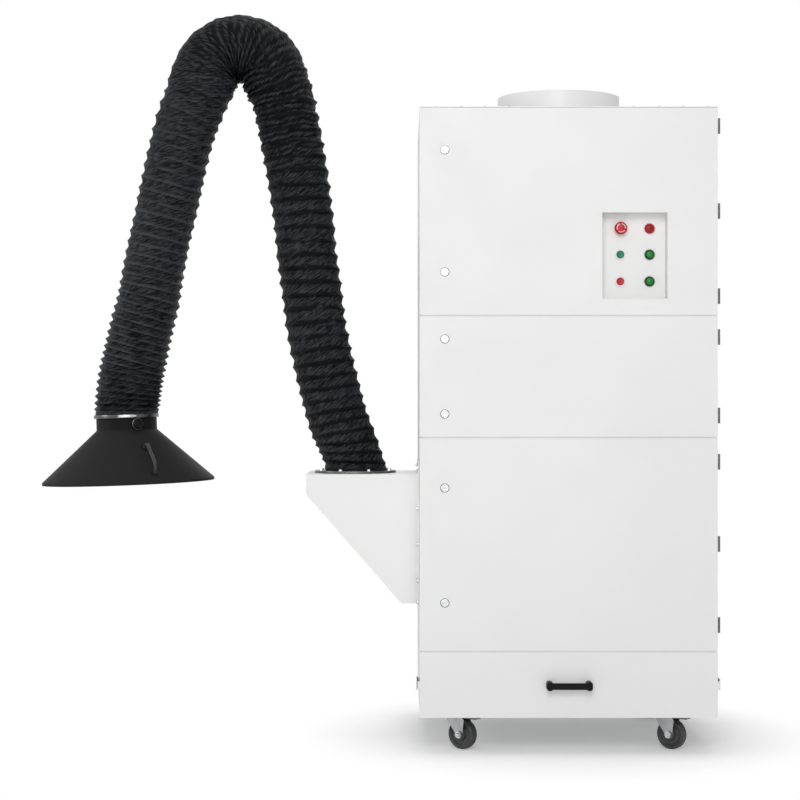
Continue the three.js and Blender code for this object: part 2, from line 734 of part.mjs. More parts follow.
// A spigot that turns in a ring: the hose fits over it, its lip is under the ring, and two ears hold
// a pivot. Heights are from the ring's top face.
function swivelSpigot(ringThick, earTop, pivotHeight) {
  const bottom = -ringThick - gap - spigot.lipThick;
  const half = spigot.earGap / 2;
  const halfLength = Math.sqrt(spigotOuter ** 2 - (half + spigot.ear) ** 2) - gap;
  const ears = [-1, 1].map((side) => {
    const inner = side * half;
    const outer = side * (half + spigot.ear);
    const y0 = Math.min(inner, outer);
    const y1 = Math.max(inner, outer);
    return join(
      box(-halfLength, halfLength, y0, y1, spigot.height - spigot.earTall / 2, spigot.height),
      box(-spigot.eye, spigot.eye, y0, y1, spigot.height - spigot.earTall / 2, earTop),
    );
  });
  return join(
    tube(0, 0, bottom, spigot.height, spigotOuter, spigotInner, 24),
    tube(0, 0, bottom, bottom + spigot.lipThick, spigot.lip, spigotInner, 24),
    rodY(0, -half - spigot.ear, half + spigot.ear, pivotHeight, spigot.pin, 12),
    ...ears,
  );
}

add('arm_turntable', swivelSpigot(swivel.ringThick, shoulder.rise + spigot.eye, shoulder.rise)
  .translate([swivelX, middleY, swivelTop]), steel);

// A link's flat end with its eye, on one side of the middle plane. side 0 fills between two ears.
function linkEnd(at, towards, side, radius) {
  const y0 = side === 0 ? gap - spigot.earGap / 2 : Math.min(side * gap / 2, side * link.flat);
  const y1 = side === 0 ? spigot.earGap / 2 - gap : Math.max(side * gap / 2, side * link.flat);
  const along = new THREE.Vector3().subVectors(towards, at).normalize().multiplyScalar(link.flatLength);
  const across = new THREE.Vector3(along.z, 0, -along.x).normalize().multiplyScalar(link.flatWidth / 2);
  const far = at.clone().add(along);
  const corners = [
    [at.x + across.x, at.z + across.z], [at.x - across.x, at.z - across.z],
    [far.x - across.x, far.z - across.z], [far.x + across.x, far.z + across.z],
  ];
  const area = THREE.ShapeUtils.area(corners.map(([x, y]) => ({ x, y })));
  const bar = prismY(area < 0 ? corners.reverse() : corners, middleY + y0, middleY + y1);
  const eye = rodY(at.x, middleY + y0, middleY + y1, at.z, radius, 12);
  return join(bar, eye);
}

// A link: a tube with one knee and a flat eye at each end, bored for the pins
function armLink(start, knee, end, startSide, endSide) {
  const inset = link.flatLength * link.tubeShare;
  const from = start.clone().lerp(knee, inset / start.distanceTo(knee));
  const to = end.clone().lerp(knee, inset / end.distanceTo(knee));
  const ball = new THREE.SphereGeometry(link.radius, 8, 5);
  ball.translate(knee.x, knee.y, knee.z);
  const body = join(
    rod(from, knee, link.radius, 8),
    rod(knee, to, link.radius, 8),
    solid(ball),
    linkEnd(start, knee, startSide, link.eye - overrun),
    linkEnd(end, knee, endSide, link.eye - overrun),
  );
  const reach = link.eye * 2;
  const hole = (at) => rodY(at.x, middleY - reach, middleY + reach, at.z, spigot.pin + gap * 2, 8);
  return cut(body, hole(start), hole(end));
}

const hoodTilt = THREE.MathUtils.degToRad(hood.tiltDegrees);
const shoulderAt = armPlace(0, swivelTop + shoulder.rise);
const elbowAt = armPlace(hose.archReach - elbow.offset, hose.archHeight + elbow.rise);
const hoodPivotAt = armPlace(
  hood.reach + hood.neckRise * Math.sin(hoodTilt), hood.height + hood.neckRise * Math.cos(hoodTilt),
);
const lowerKnee = armPlace(hose.archReach - knees.lowerOffset, hose.archHeight - knees.drop);
const upperKnee = armPlace(hose.archReach + knees.upperOffset, hose.archHeight - knees.drop);
add('lower_link', armLink(shoulderAt, lowerKnee, elbowAt, 0, 1), darkSteel);
add('upper_link', armLink(hoodPivotAt, upperKnee, elbowAt, 0, -1), darkSteel);

const pinHalf = link.flat + gap;
add('elbow_pin', join(
  rodY(elbowAt.x, middleY - pinHalf, middleY + pinHalf, elbowAt.z, spigot.pin, 12),
  rodY(elbowAt.x, middleY + pinHalf, middleY + pinHalf + link.pinHeadThick, elbowAt.z, link.pinHead, 6),
  rodY(elbowAt.x, middleY - pinHalf - link.pinHeadThick, middleY - pinHalf, elbowAt.z, link.pinHead, 6),
), zinc);

// The hood's pieces are made about their own axis, z = 0 at the collar's top, then turned and placed
function placeHood(body) {
  const foot = armPlace(hood.reach, hood.height);
  return body.rotate([0, -hood.tiltDegrees, 0]).translate([foot.x, foot.y, foot.z]);
}

function turnHood(body) {
  return placeHood(body.rotate([0, 0, hood.turnDegrees]));
}

add('hood_neck', placeHood(swivelSpigot(hood.wall, hood.neckRise + spigot.eye, hood.neckRise)), steel);

const collarFoot = -hood.collarHeight;
const coneFoot = collarFoot - hood.coneHeight;
const ringBore = spigotOuter + gap * 3;

function hoodShell() {
  const { collar: outer, rim, wall, rimLip } = hood;
  return cut(
    turned([
      [ringBore, 0], [outer, 0], [outer, collarFoot], [rim, coneFoot + rimLip], [rim, coneFoot],
      [rim - wall, coneFoot], [rim - wall, coneFoot + rimLip], [outer - wall, collarFoot - wall],
      [outer - wall, -wall], [ringBore, -wall],
    ], 36),
    rodY(0, -outer - overrun, outer + overrun, -damper.drop, damper.shaft + gap, 12),
  );
}

add('hood', turnHood(hoodShell()), hoodBlack);

// Damper: a round blade on a shaft across the collar, with a knob in front. It rests open, edge up.
function damperBlade() {
  const outer = hood.collar;
  const knobBack = -outer - damper.standoff;
  return join(
    rodX(-damper.thick / 2, damper.thick / 2, 0, -damper.drop, damper.radius, 24),
    rodY(0, knobBack - overrun, outer + damper.standoff, -damper.drop, damper.shaft, 12),
    rodY(0, knobBack - damper.knobDepth, knobBack, -damper.drop, damper.knob, 16),
  );
}

add('damper', turnHood(damperBlade()), black);

// Bow handle down the front of the cone, its feet on the cone's face
function bowHandle() {
  const slope = Math.atan2(hood.rim - hood.collar, hood.coneHeight - hood.rimLip);
  const onCone = (share, lift) => {
    const radius = hood.collar + (hood.rim - hood.collar) * share + lift * Math.cos(slope);
    const height = collarFoot - (hood.coneHeight - hood.rimLip) * share + lift * Math.sin(slope);
    return new THREE.Vector3(0, -radius, height);
  };
  const { startShare, endShare, bendShare, proud: lift } = hoodHandle;
  const seat = gap * 2 + hoodHandle.radius / 3;
  const points = [
    onCone(startShare, seat), onCone(startShare + bendShare, lift),
    onCone(endShare - bendShare, lift), onCone(endShare, seat),
  ];
  const rods = points.slice(1).map((point, i) => rod(points[i], point, hoodHandle.radius, 8));
  const balls = points.slice(1, -1).map((point) => {
    const ball = new THREE.SphereGeometry(hoodHandle.radius, 8, 6);
    ball.translate(point.x, point.y, point.z);
    return solid(ball);
  });
  return join(...rods, ...balls);
}

add('hood_handle', turnHood(bowHandle()), black);

// Ribbed hose

const arch = Array.from({ length: archSteps + 1 }, (_, i) => {
  const angle = THREE.MathUtils.degToRad(archStart + (archEnd - archStart) * i / archSteps);
  return [
    hose.archReach + hose.archRadius * Math.cos(angle),
    hose.archHeight + hose.archRadius * Math.sin(angle),
  ];
});
const lowerLeg = lowerLegShares.map(([across, up]) => [
  across * hose.archReach, swivelTop + up * (hose.archHeight - swivelTop),
]);
const upperLeg = upperLegShares.map(([across, up]) => [
  hose.archReach + across * (hood.reach - hose.archReach),
  hood.height + up * (hose.archHeight - hood.height),
]);
const hoodEnd = [hood.reach, hood.height + gap];
const baseStraight = straightShares.base * (hose.archHeight - swivelTop);
const endStraight = straightShares.hood * (hose.archHeight - hood.height);
const hoodStraight = [1, 1 / 2].map((share) => [
  hood.reach + share * endStraight * Math.sin(hoodTilt),
  hood.height + share * endStraight * Math.cos(hoodTilt),
]);
const routePoints = [
  [0, swivelTop + gap], [0, swivelTop + baseStraight / 2], [0, swivelTop + baseStraight],
  ...lowerLeg, ...arch, ...upperLeg, ...hoodStraight, hoodEnd,
];
const route = new THREE.CatmullRomCurve3(routePoints.map(([u, z]) => armPlace(u, z)), false, 'centripetal');
route.arcLengthDivisions = 800;
const routeLength = route.getLength();

// The pleats are closer together near the swivel and, more so, towards the hood
function ribPitch(share) {
  const smooth = THREE.MathUtils.smoothstep;
  const { baseEnd, hoodStart, hoodEnd: last } = pitchShares;
  const base = THREE.MathUtils.lerp(hose.basePitch, hose.ribPitch, smooth(share, 0, baseEnd));
  return THREE.MathUtils.lerp(base, hose.hoodPitch, smooth(share, hoodStart, last));
}

const sideways = new THREE.Vector3(0, 1, 0);

function ringAt(distance, radius) {
  const share = THREE.MathUtils.clamp(distance / routeLength, 0, 1);
  const centre = route.getPointAt(share);
  const tangent = route.getTangentAt(share);
  const across = new THREE.Vector3().crossVectors(sideways, tangent).normalize();
  return Array.from({ length: hose.sides }, (_, i) => {
    const angle = i * 2 * Math.PI / hose.sides;
    return centre.clone()
      .addScaledVector(across, radius * Math.cos(angle))
      .addScaledVector(sideways, radius * Math.sin(angle));
  });
}

// A stretch of the hose between two distances along the route
function hoseStretch(start, end) {
  const outer = [];
  const inner = [];
  let ribs = 0;
  for (let at = start; at < end;) {
    const pitch = ribPitch(at / routeLength);
    outer.push(ringAt(at, hose.valleyRadius));
    if (at + pitch / 2 < end) {
      outer.push(ringAt(at + pitch / 2, hose.crestRadius));
    }
    if (ribs % hose.boreStep === 0) {
      inner.push(ringAt(at, hose.boreRadius));
    }
    ribs += 1;
    at += pitch;
  }
  outer.push(ringAt(end, hose.valleyRadius));
  inner.push(ringAt(end, hose.boreRadius));
  const rings = [...outer, ...inner.reverse()];
  const points = rings.flat();
  const sides = hose.sides;
  const index = [];
  for (let ring = 0; ring < rings.length; ring += 1) {
    const next = (ring + 1) % rings.length;
    for (let i = 0; i < sides; i += 1) {
      const j = (i + 1) % sides;
      const [a, b, c, d] = [ring * sides + i, ring * sides + j, next * sides + j, next * sides + i];
      index.push(a, b, c, a, c, d);
    }
  }
  const geometry = new THREE.BufferGeometry().setFromPoints(points);
  geometry.setIndex(index);
  geometry.computeVertexNormals();
  return { geometry, ribs };
}

const splits = splitShares.map((share) => share * routeLength);
const lowerHose = hoseStretch(0, splits[0]);
const elbowHose = hoseStretch(splits[0] + gap, splits[1]);
const upperHose = hoseStretch(splits[1] + gap, routeLength);
add('hose_lower', lowerHose.geometry, fabric);
add('hose_elbow', elbowHose.geometry, fabric);
add('hose_upper', upperHose.geometry, fabric);
const ribs = lowerHose.ribs + elbowHose.ribs + upperHose.ribs;
console.log(`hose ${routeLength.toFixed(0)} long, ${ribs} ribs`);

// Band clamp round the hose's end over the neck, with its screw block
function hoseClamp() {
  const inner = hose.crestRadius + gap * 3;
  const outer = inner + hood.clampThick;
  const low = gap * 2;
  const band = tube(0, 0, low, low + hood.clampWidth, outer, inner, 24);
  const half = hood.clampWidth / 2;
  const block = box(-half, half, -outer - half, -outer + hood.clampThick / 2, low, low + hood.clampWidth);
  return join(band, block);
}

add('hose_clamp', turnHood(hoseClamp()), steel);

// Casters. Each is made about its own swivel axis, rolling along +X, then turned as the photograph has it.

const forkGapHalf = caster.width / 2 + gap * 2;
const forkOuter = forkGapHalf + caster.forkLeg;
const axleHeight = caster.diameter / 2;

function forkLegShape() {
  const { forkHalf, forkEnd, trail, forkTop, roundSteps } = caster;
  const round = Array.from({ length: roundSteps + 1 }, (_, i) => {
    const angle = Math.PI + i * Math.PI / roundSteps;
    return [trail + forkEnd * Math.cos(angle), axleHeight + forkEnd * Math.sin(angle)];
  });
  return [[-forkHalf, forkTop], [-forkHalf, forkTop - forkEnd], ...round,
    [forkHalf + trail / 2, forkTop - forkEnd], [forkHalf, forkTop]];
}

function casterFork(hasPedal) {
  const { forkTop, forkPlate, race, forkHalf, trail, axle, nut, nutThick } = caster;
  const outline = forkLegShape();
  const legs = [-1, 1].map((side) => {
    const y0 = Math.min(side * forkGapHalf, side * forkOuter);
    const y1 = Math.max(side * forkGapHalf, side * forkOuter);
    return prismY(outline, y0, y1);
  });
  const body = join(
    ...legs,
    box(-forkHalf, hasPedal ? 0 : forkHalf, -forkOuter, forkOuter, forkTop - forkPlate, forkTop),
    rodZ(0, 0, forkTop - forkPlate, padBottom - gap, race / 2, 20),
    rodY(trail, -forkOuter - nutThick, forkOuter + nutThick, axleHeight, axle, 12),
    rodY(trail, -forkOuter - nutThick, -forkOuter, axleHeight, nut, 6),
    rodY(trail, forkOuter, forkOuter + nutThick, axleHeight, nut, 6),
  );
  const reach = forkOuter + overrun;
  return hasPedal ? cut(body, rodY(pedal.pivot, -reach, reach, pedal.height, pedal.pin + gap, 10)) : body;
}

function casterWheel() {
  const sides = 24;
  const radius = axleHeight / Math.cos(Math.PI / sides);
  const { width, bore, hub, tyre, trail } = caster;
  const half = width / 2;
  const rimRadius = axleHeight - tyre;
  const treadShare = 0.7;
  const hubDipShare = 0.5;
  const wheel = turned([
    [bore, -half], [hub, -half], [rimRadius, -half * hubDipShare], [radius - tyre / 4, -half],
    [radius, -half * treadShare], [radius, half * treadShare], [radius - tyre / 4, half],
    [rimRadius, half * hubDipShare], [hub, half], [bore, half],
  ], sides);
  return wheel.rotate([0, 0, 180 / sides]).rotate([90, 0, 0]).translate([trail, 0, axleHeight]);
}

function brakePedal() {
  const { pivot, height, reach, width, thick, pin } = pedal;
  return join(
    box(pivot, pivot + reach, -width / 2, width / 2, height - thick / 2, height + thick / 2),
    rodY(pivot, -forkOuter, forkOuter, height, pin, 10),
  );
}

for (const [place, { x, y }] of Object.entries(casterPlaces)) {
  const set = (body) => body.rotate([0, 0, -caster.turnDegrees]).translate([x, y, 0]);
  const braked = place.startsWith('front');
  add(`caster_fork_${place}`, set(casterFork(braked)), zinc);
  add(`caster_wheel_${place}`, set(casterWheel()), rubber);
  if (braked) {
    add(`brake_pedal_${place}`, set(brakePedal()), black);
  }
}

// The origin is on the floor, under the middle of the whole machine
const extent = new THREE.Box3().setFromObject(machine);
const middle = extent.getCenter(new THREE.Vector3());
machine.position.set(-middle.x, -middle.y, -extent.min.z);
machine.updateMatrixWorld(true);

export default machine;
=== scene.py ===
"""Looks of a mobile welding fume extractor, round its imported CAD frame. Metres, +Z up, doors face -Y."""

import json
from bisect import bisect_right
from math import atan2, cos, pi, radians, sin

import bmesh
import bpy
from mathutils import Matrix, Vector, noise


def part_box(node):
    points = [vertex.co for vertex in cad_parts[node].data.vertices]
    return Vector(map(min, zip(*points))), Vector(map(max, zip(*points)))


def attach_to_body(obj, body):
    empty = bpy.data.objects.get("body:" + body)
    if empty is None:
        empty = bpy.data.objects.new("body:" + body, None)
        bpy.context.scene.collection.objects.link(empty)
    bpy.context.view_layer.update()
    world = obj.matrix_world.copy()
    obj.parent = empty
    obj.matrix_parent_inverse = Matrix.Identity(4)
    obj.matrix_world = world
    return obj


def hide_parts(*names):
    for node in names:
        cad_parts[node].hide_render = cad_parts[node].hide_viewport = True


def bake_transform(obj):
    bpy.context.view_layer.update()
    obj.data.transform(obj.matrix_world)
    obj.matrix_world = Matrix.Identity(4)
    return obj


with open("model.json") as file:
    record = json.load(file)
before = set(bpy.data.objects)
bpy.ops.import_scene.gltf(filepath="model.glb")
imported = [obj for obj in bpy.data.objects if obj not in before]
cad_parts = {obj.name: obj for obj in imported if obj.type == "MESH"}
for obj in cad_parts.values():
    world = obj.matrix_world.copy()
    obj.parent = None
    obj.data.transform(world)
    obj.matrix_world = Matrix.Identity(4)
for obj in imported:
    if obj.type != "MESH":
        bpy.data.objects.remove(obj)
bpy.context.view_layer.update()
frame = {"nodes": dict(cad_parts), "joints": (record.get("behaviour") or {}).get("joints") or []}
nodes = frame["nodes"]
scene = bpy.context.scene


def add_object(name, data):
    made = bpy.data.objects.new(name, data)
    scene.collection.objects.link(made)
    return made


# Camera: level, in front of the hood's side of the cabinet, as the photograph was taken

camera_gap = 5.236  # from the doors' front face
camera_height = 0.951
camera_left_of_cabinet = 0.0534
focal_length = 87.75
sensor_width = 36

cabinet_left, cabinet_front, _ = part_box("lower_door")[0]
cabinet_right, cabinet_back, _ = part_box("back_panel")[1]
cabinet_middle = (cabinet_left + cabinet_right) / 2
middle_y = (cabinet_front + cabinet_back) / 2

camera_data = bpy.data.cameras.new("camera")
camera_data.lens = focal_length
camera_data.sensor_width = sensor_width
camera_data.clip_end = 100
camera = add_object("camera", camera_data)
camera.location = (cabinet_left - camera_left_of_cabinet, cabinet_front - camera_gap, camera_height)
camera.rotation_euler = (pi / 2, 0, 0)
scene.camera = camera
scene.view_settings.view_transform = "Standard"


# Materials

class Tree:
    """The node tree of a material or a world, under construction."""

    def __init__(self, owner):
        owner.use_nodes = True
        self.tree = owner.node_tree

    def node(self, kind, **values):
        """A new node. A value goes to the input of that name, or else to the node's own setting."""
        made = self.tree.nodes.new(kind)
        for name, value in values.items():
            if name in made.inputs:
                made.inputs[name].default_value = value
            else:
                setattr(made, name, value)
        return made

    def link(self, source, target):
        self.tree.links.new(source, target)

    def math(self, operation, first, second):
        """A sum, product or maximum of a socket with another one or with a number."""
        made = self.node("ShaderNodeMath", operation=operation)
        self.link(first, made.inputs[0])
        if isinstance(second, float):
            made.inputs[1].default_value = second
        else:
            self.link(second, made.inputs[1])
        return made.outputs["Value"]

    def remap(self, value, low, high, start=0.3, end=0.7):
        limits = {"From Min": start, "From Max": end, "To Min": low, "To Max": high}
        made = self.node("ShaderNodeMapRange", **limits)
        self.link(value, made.inputs["Value"])
        return made.outputs["Result"]

    def seen_directly(self):
        """1 for what the camera sees, also mirrored or through something clear, and 0 for other light."""
        path = self.node("ShaderNodeLightPath").outputs
        direct = self.math("MAXIMUM", path["Is Camera Ray"], path["Is Glossy Ray"])
        return self.math("MAXIMUM", direct, path["Is Transmission Ray"])


class Shader(Tree):
    """A principled material with helpers for procedural inputs."""

    def __init__(self, name, colour, roughness, metallic=0.0, shine=0.5):
        self.material = bpy.data.materials.new(name)
        super().__init__(self.material)
        self.material.diffuse_color = (*colour, 1)
        self.principled = self.tree.nodes["Principled BSDF"]
        self.set("Base Color", (*colour, 1))
        self.set("Roughness", roughness)
        self.set("Metallic", metallic)
        self.set("Specular IOR Level", shine)
        self.colour = colour
        self.roughness = roughness
        self.bump_end = None

    def set(self, socket, value):
        self.principled.inputs[socket].default_value = value

    def coordinates(self, uv=False, scale=(1, 1, 1), turn=0.0):
        source = self.node("ShaderNodeTexCoord").outputs["UV" if uv else "Object"]
        mapping = self.node("ShaderNodeMapping", Scale=scale, Rotation=(0, 0, turn))
        self.link(source, mapping.inputs["Vector"])
        return mapping.outputs["Vector"]

    def streaks(self, unroll, slant, fineness, detail, distortion):
        """Noise drawn out along a line that runs aslant over cloth whose UVs unroll to these metres."""
        drawn = self.node("ShaderNodeMapping", Scale=(*fineness, 1))
        self.link(self.coordinates(True, (*unroll, 1), slant), drawn.inputs["Vector"])
        return self.noise(1, detail, drawn.outputs["Vector"], distortion)

    def noise(self, scale, detail, vector=None, distortion=0.0):
        made = self.node("ShaderNodeTexNoise", Scale=scale, Detail=detail, Distortion=distortion)
        self.link(vector or self.coordinates(), made.inputs["Vector"])
        return made.outputs["Fac"]

    def vary_colour(self, factor, second):
        """The base colour drifts towards another one where factor is high."""
        made = self.node("ShaderNodeMix", data_type="RGBA")
        self.link(factor, made.inputs["Factor"])
        made.inputs[6].default_value = (*self.colour, 1)
        made.inputs[7].default_value = (*second, 1)
        self.link(made.outputs[2], self.principled.inputs["Base Color"])

    def vary_roughness(self, factor, spread):
        low, high = max(self.roughness - spread, 0.02), min(self.roughness + spread, 1)
        self.link(self.remap(factor, low, high), self.principled.inputs["Roughness"])

    def bump(self, height, distance, strength):
        made = self.node("ShaderNodeBump", Strength=strength, Distance=distance)
        self.link(height, made.inputs["Height"])
        if self.bump_end:
            self.link(self.bump_end, made.inputs["Normal"])
        self.bump_end = made.outputs["Normal"]
        self.link(self.bump_end, self.principled.inputs["Normal"])

    def grained(self, tone, gloss, relief, vector=None):
        """The material with up to three noises, each given by its scale, its detail and what it does:
        tone by the share of the colour that it falls to, gloss by the spread of the roughness, relief by
        the bump's distance and strength."""
        if tone:
            self.vary_colour(self.remap(self.noise(*tone[:2]), 0, 1), shade(self.colour, tone[2]))
        if gloss:
            self.vary_roughness(self.noise(*gloss[:2], vector), gloss[2])
        self.bump(self.noise(*relief[:2], vector), *relief[2:])
        return self.material


def shade(colour, share, lift=0.0):
    return tuple(channel * share + lift for channel in colour)


def painted(name, colour, roughness, peel=0.00012, shine=0.5):
    """Powder coat: fine orange peel, a slow drift of tone and gloss."""
    made = Shader(name, colour, roughness, shine=shine)
    return made.grained((2.2, 2, 0.965), (9, 4, 0.06), (420, 2, peel, 0.35))


def metal(name, colour, roughness, grain=(1, 1, 40), depth=0.00006):
    """Plated or brushed metal with a directional grain and faint stains."""
    made = Shader(name, colour, roughness, 1.0)
    return made.grained((35, 5, 0.74), (60, 4, 0.09), (60, 4, depth, 0.4), made.coordinates(scale=grain))


def plastic(name, colour, roughness, shine=0.5):
    made = Shader(name, colour, roughness, shine=shine)
    return made.grained((25, 3, 0.8), (60, 3, 0.05), (700, 2, 0.00008, 0.4))


def rubber_tread(name, colour):
    made = Shader(name, colour, 0.62)
    dust = made.remap(made.noise(70, 5), 0, 1, 0.45, 0.75)
    made.vary_colour(dust, shade(colour, 1.9, 0.01))
    return made.grained(None, (110, 3, 0.1), (600, 3, 0.0002, 0.5))


def hose_cloth(name, colour):
    """Coated fabric: creases that run aslant between the wires, with painted highlight on the creases'
    ridges and the wire's crests, and painted shade in the creases' hollows, below the wire and in the arch's
    fan grooves.
    """
    made = Shader(name, colour, 0.5, shine=0.06)
    unroll = (0.565, 2.45)
    fine = made.streaks(unroll, -0.46, (34, 300), 5, 0.5)
    broad = made.streaks(unroll, -0.36, (14, 120), 4, 0.8)
    counter = made.streaks(unroll, 0.4, (26, 190), 4, 0.6)
    # The noises that make the creases' bump also make the colour: painted highlight on their ridges, painted
    # shade in their hollows.
    pale = made.remap(fine, -0.4, 0.75, 0.34, 0.6)
    pale = made.math("ADD", pale, made.remap(broad, -0.2, 0.3, 0.34, 0.58))
    # The wire attribute adds painted highlight along the wire's crests and painted shade below the wire and
    # in the fan grooves.
    crest = made.node("ShaderNodeAttribute", attribute_name="wire").outputs["Fac"]
    painted_light = made.math("ADD", pale, made.remap(crest, -1.6, 1.6, -1, 1))
    made.vary_colour(painted_light, shade(colour, 7, 0.019))
    made.vary_roughness(broad, 0.12)
    for height, distance, strength in ((broad, 0.0036, 0.8), (counter, 0.0014, 0.5), (fine, 0.0013, 0.8)):
        made.bump(height, distance, strength)
    return made.material


def pleated_paper(name, colour):
    return Shader(name, colour, 0.92).grained((14, 5, 0.72), None, (350, 4, 0.0004, 0.6))


def lens(name, colour, glow):
    """Moulded signal lens: a clear coat over a colour that looks lit from inside by a little."""
    made = Shader(name, colour, 0.3, shine=0.25)
    made.set("Coat Weight", 0.12)
    made.set("Coat Roughness", 0.1)
    made.set("Emission Color", (*colour, 1))
    made.set("Emission Strength", glow)
    return made.grained(None, (240, 2, 0.04), (520, 2, 0.00005, 0.3))


white_paint = painted("white_paint", (0.83, 0.835, 0.828), 0.42)
black_paint = painted("black_paint", (0.023, 0.023, 0.0234), 0.5, 0.0001, 0.02)
# A darker copy of the hood's black paint for its collar: painted shade.
shaded_collar_paint = painted("shaded_collar_paint", (0.009, 0.009, 0.0094), 0.5, 0.0001, 0.05)
motor_paint = painted("motor_paint", (0.08, 0.15, 0.24), 0.4)
bare_steel = metal("bare_steel", (0.6, 0.61, 0.62), 0.34)
zinc_plate = metal("zinc_plate", (0.71, 0.72, 0.73), 0.27, (1, 1, 12))
dark_steel = metal("dark_steel", (0.17, 0.17, 0.175), 0.42)
band_steel = metal("band_steel", (0.11, 0.11, 0.115), 0.3, (1, 1, 12))
fork_steel = metal("fork_steel", (0.45, 0.46, 0.47), 0.33, (1, 1, 3), 0.00002)
black_plastic = plastic("black_plastic", (0.006, 0.006, 0.0064), 0.4, shine=0.1)
# A lighter copy of the black paint for the hood's bow handle: painted highlight.
highlight_grip_paint = painted("highlight_grip_paint", (0.04, 0.04, 0.041), 0.45, 0.0001, 0.2)
white_plastic = plastic("white_plastic", (0.82, 0.82, 0.81), 0.25)
wheel_plastic = plastic("wheel_plastic", (0.045, 0.046, 0.048), 0.45)
tread_rubber = rubber_tread("tread_rubber", (0.03, 0.03, 0.031))
hose_fabric = hose_cloth("hose_fabric", (0.0034, 0.0038, 0.0043))
filter_media = pleated_paper("filter_media", (0.7, 0.67, 0.57))
red_plastic = lens("red_plastic", (0.5, 0.002, 0.008), 0.0)
red_lens = lens("red_lens", (0.3, 0.002, 0.004), 0.02)
green_plastic = lens("green_plastic", (0.001, 0.19, 0.09), 0.0)
green_lens = lens("green_lens", (0.001, 0.24, 0.02), 0.06)
green_rim = lens("green_rim", (0.001, 0.05, 0.005), 0.0)


# Meshes

def mesh_object(name, verts, faces, material, oriented=False):
    """A piece with one material. Its faces are turned outwards, unless they are oriented already."""
    mesh = bpy.data.meshes.new(name)
    mesh.from_pydata([tuple(v) for v in verts], [], faces)
    mesh.update()
    mesh.materials.append(material)
    made = add_object(name, mesh)
    if not oriented:
        work = bmesh.new()
        work.from_mesh(mesh)
        bmesh.ops.recalc_face_normals(work, faces=work.faces)
        work.to_mesh(mesh)
        work.free()
    soften_shading(made)
    return made


def soften_shading(made, angle=32):
    made.data.shade_smooth()
    made.data.set_sharp_from_angle(angle=radians(angle))


def apply_modifiers(made):
    bpy.context.view_layer.update()
    graph = bpy.context.evaluated_depsgraph_get()
    finished = bpy.data.meshes.new_from_object(made.evaluated_get(graph))
    made.modifiers.clear()
    made.data = finished


def bevelled(made, width, segments=3, angle=30):
    modifier = made.modifiers.new("edges", "BEVEL")
    modifier.width = width
    modifier.segments = segments
    modifier.limit_method = "ANGLE"
    modifier.angle_limit = radians(angle)
    modifier.use_clamp_overlap = True
    apply_modifiers(made)
    soften_shading(made)
    flat_faces = made.modifiers.new("shading", "WEIGHTED_NORMAL")
    flat_faces.keep_sharp = True
    apply_modifiers(made)
    return made


def attach(made, body, slot, *replaced):
    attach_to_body(made, body)
    if replaced:
        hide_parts(*replaced)
    return made


merge_distance = 0.00002
flat_angle = radians(1.5)  # faces that meet at less than this become one


def softened(node, body, slot, material, width, segments=2):
    """A CAD node's shape with its facets merged and its edges rounded, in place of the node."""
    mesh = nodes[node].data.copy()
    mesh.materials.clear()
    mesh.materials.append(material)
    work = bmesh.new()
    work.from_mesh(mesh)
    bmesh.ops.remove_doubles(work, verts=work.verts, dist=merge_distance)
    bmesh.ops.dissolve_limit(work, angle_limit=flat_angle, verts=work.verts, edges=work.edges)
    for face in work.faces:
        face.material_index = 0
    work.to_mesh(mesh)
    work.free()
    return attach(bevelled(add_object(f"{node}_skin", mesh), width, segments), body, slot, node)


def repaint(made, material, wanted):
    """Gives the faces whose middle passes the test another material."""
    made.data.materials.append(material)
    index = len(made.data.materials) - 1
    for face in made.data.polygons:
        if wanted(face.center):
            face.material_index = index


def placed(verts, matrix):
    return [matrix @ Vector(v) for v in verts]


def round_at(angle, radius, height):
    return Vector((cos(angle) * radius, sin(angle) * radius, height))


box_faces = [[0, 1, 2, 3], [4, 7, 6, 5], [0, 4, 5, 1], [1, 5, 6, 2], [2, 6, 7, 3], [3, 7, 4, 0]]


def box_corners(x, y, z):
    """The corners of a block between two x, two y and two z, in the order of box_faces."""
    return [(x[i], y[j], at) for at in z for i, j in ((0, 0), (1, 0), (1, 1), (0, 1))]


def lathe_mesh(profile, sides):
    """Verts and faces of a profile of (radius, height) pairs turned about Z. A zero radius is a pole."""
    verts, faces, rings = [], [], []
    for radius, height in profile:
        count = sides if radius else 1
        rings.append(range(len(verts), len(verts) + count))
        verts += [round_at(2 * pi * i / sides, radius, height) for i in range(count)]
    for first, second in zip(rings, rings[1:]):
        for i in range(sides):
            around = ((first, i), (first, i + 1), (second, i + 1), (second, i))
            corners = list(dict.fromkeys(ring[k % len(ring)] for ring, k in around))
            if len(corners) > 2:
                faces.append(corners)
    return verts, faces


def rounded(profile, radius, steps=3):
    """A profile with its inner corners rounded by small arcs."""
    points = [Vector(p) for p in profile]
    result = [tuple(points[0])]
    for before, corner, after in zip(points, points[1:], points[2:]):
        cut = min(radius, (corner - before).length * 0.45, (after - corner).length * 0.45)
        start = corner + (before - corner).normalized() * cut
        end = corner + (after - corner).normalized() * cut
        for i in range(steps + 1):
            t = i / steps
            result.append(tuple(start * (1 - t) ** 2 + corner * 2 * t * (1 - t) + end * t * t))
    result.append(tuple(points[-1]))
    return result


def turned(name, profile, matrix, sides, material, body, slot, *replaced, closed=False):
    """A lathe piece. A closed profile ends where it starts."""
    verts, faces = lathe_mesh(profile, sides)
    if closed:
        last = len(verts) - sides
        faces += [[last + i, last + (i + 1) % sides, (i + 1) % sides, i] for i in range(sides)]
    return attach(mesh_object(name, placed(verts, matrix), faces, material), body, slot, *replaced)


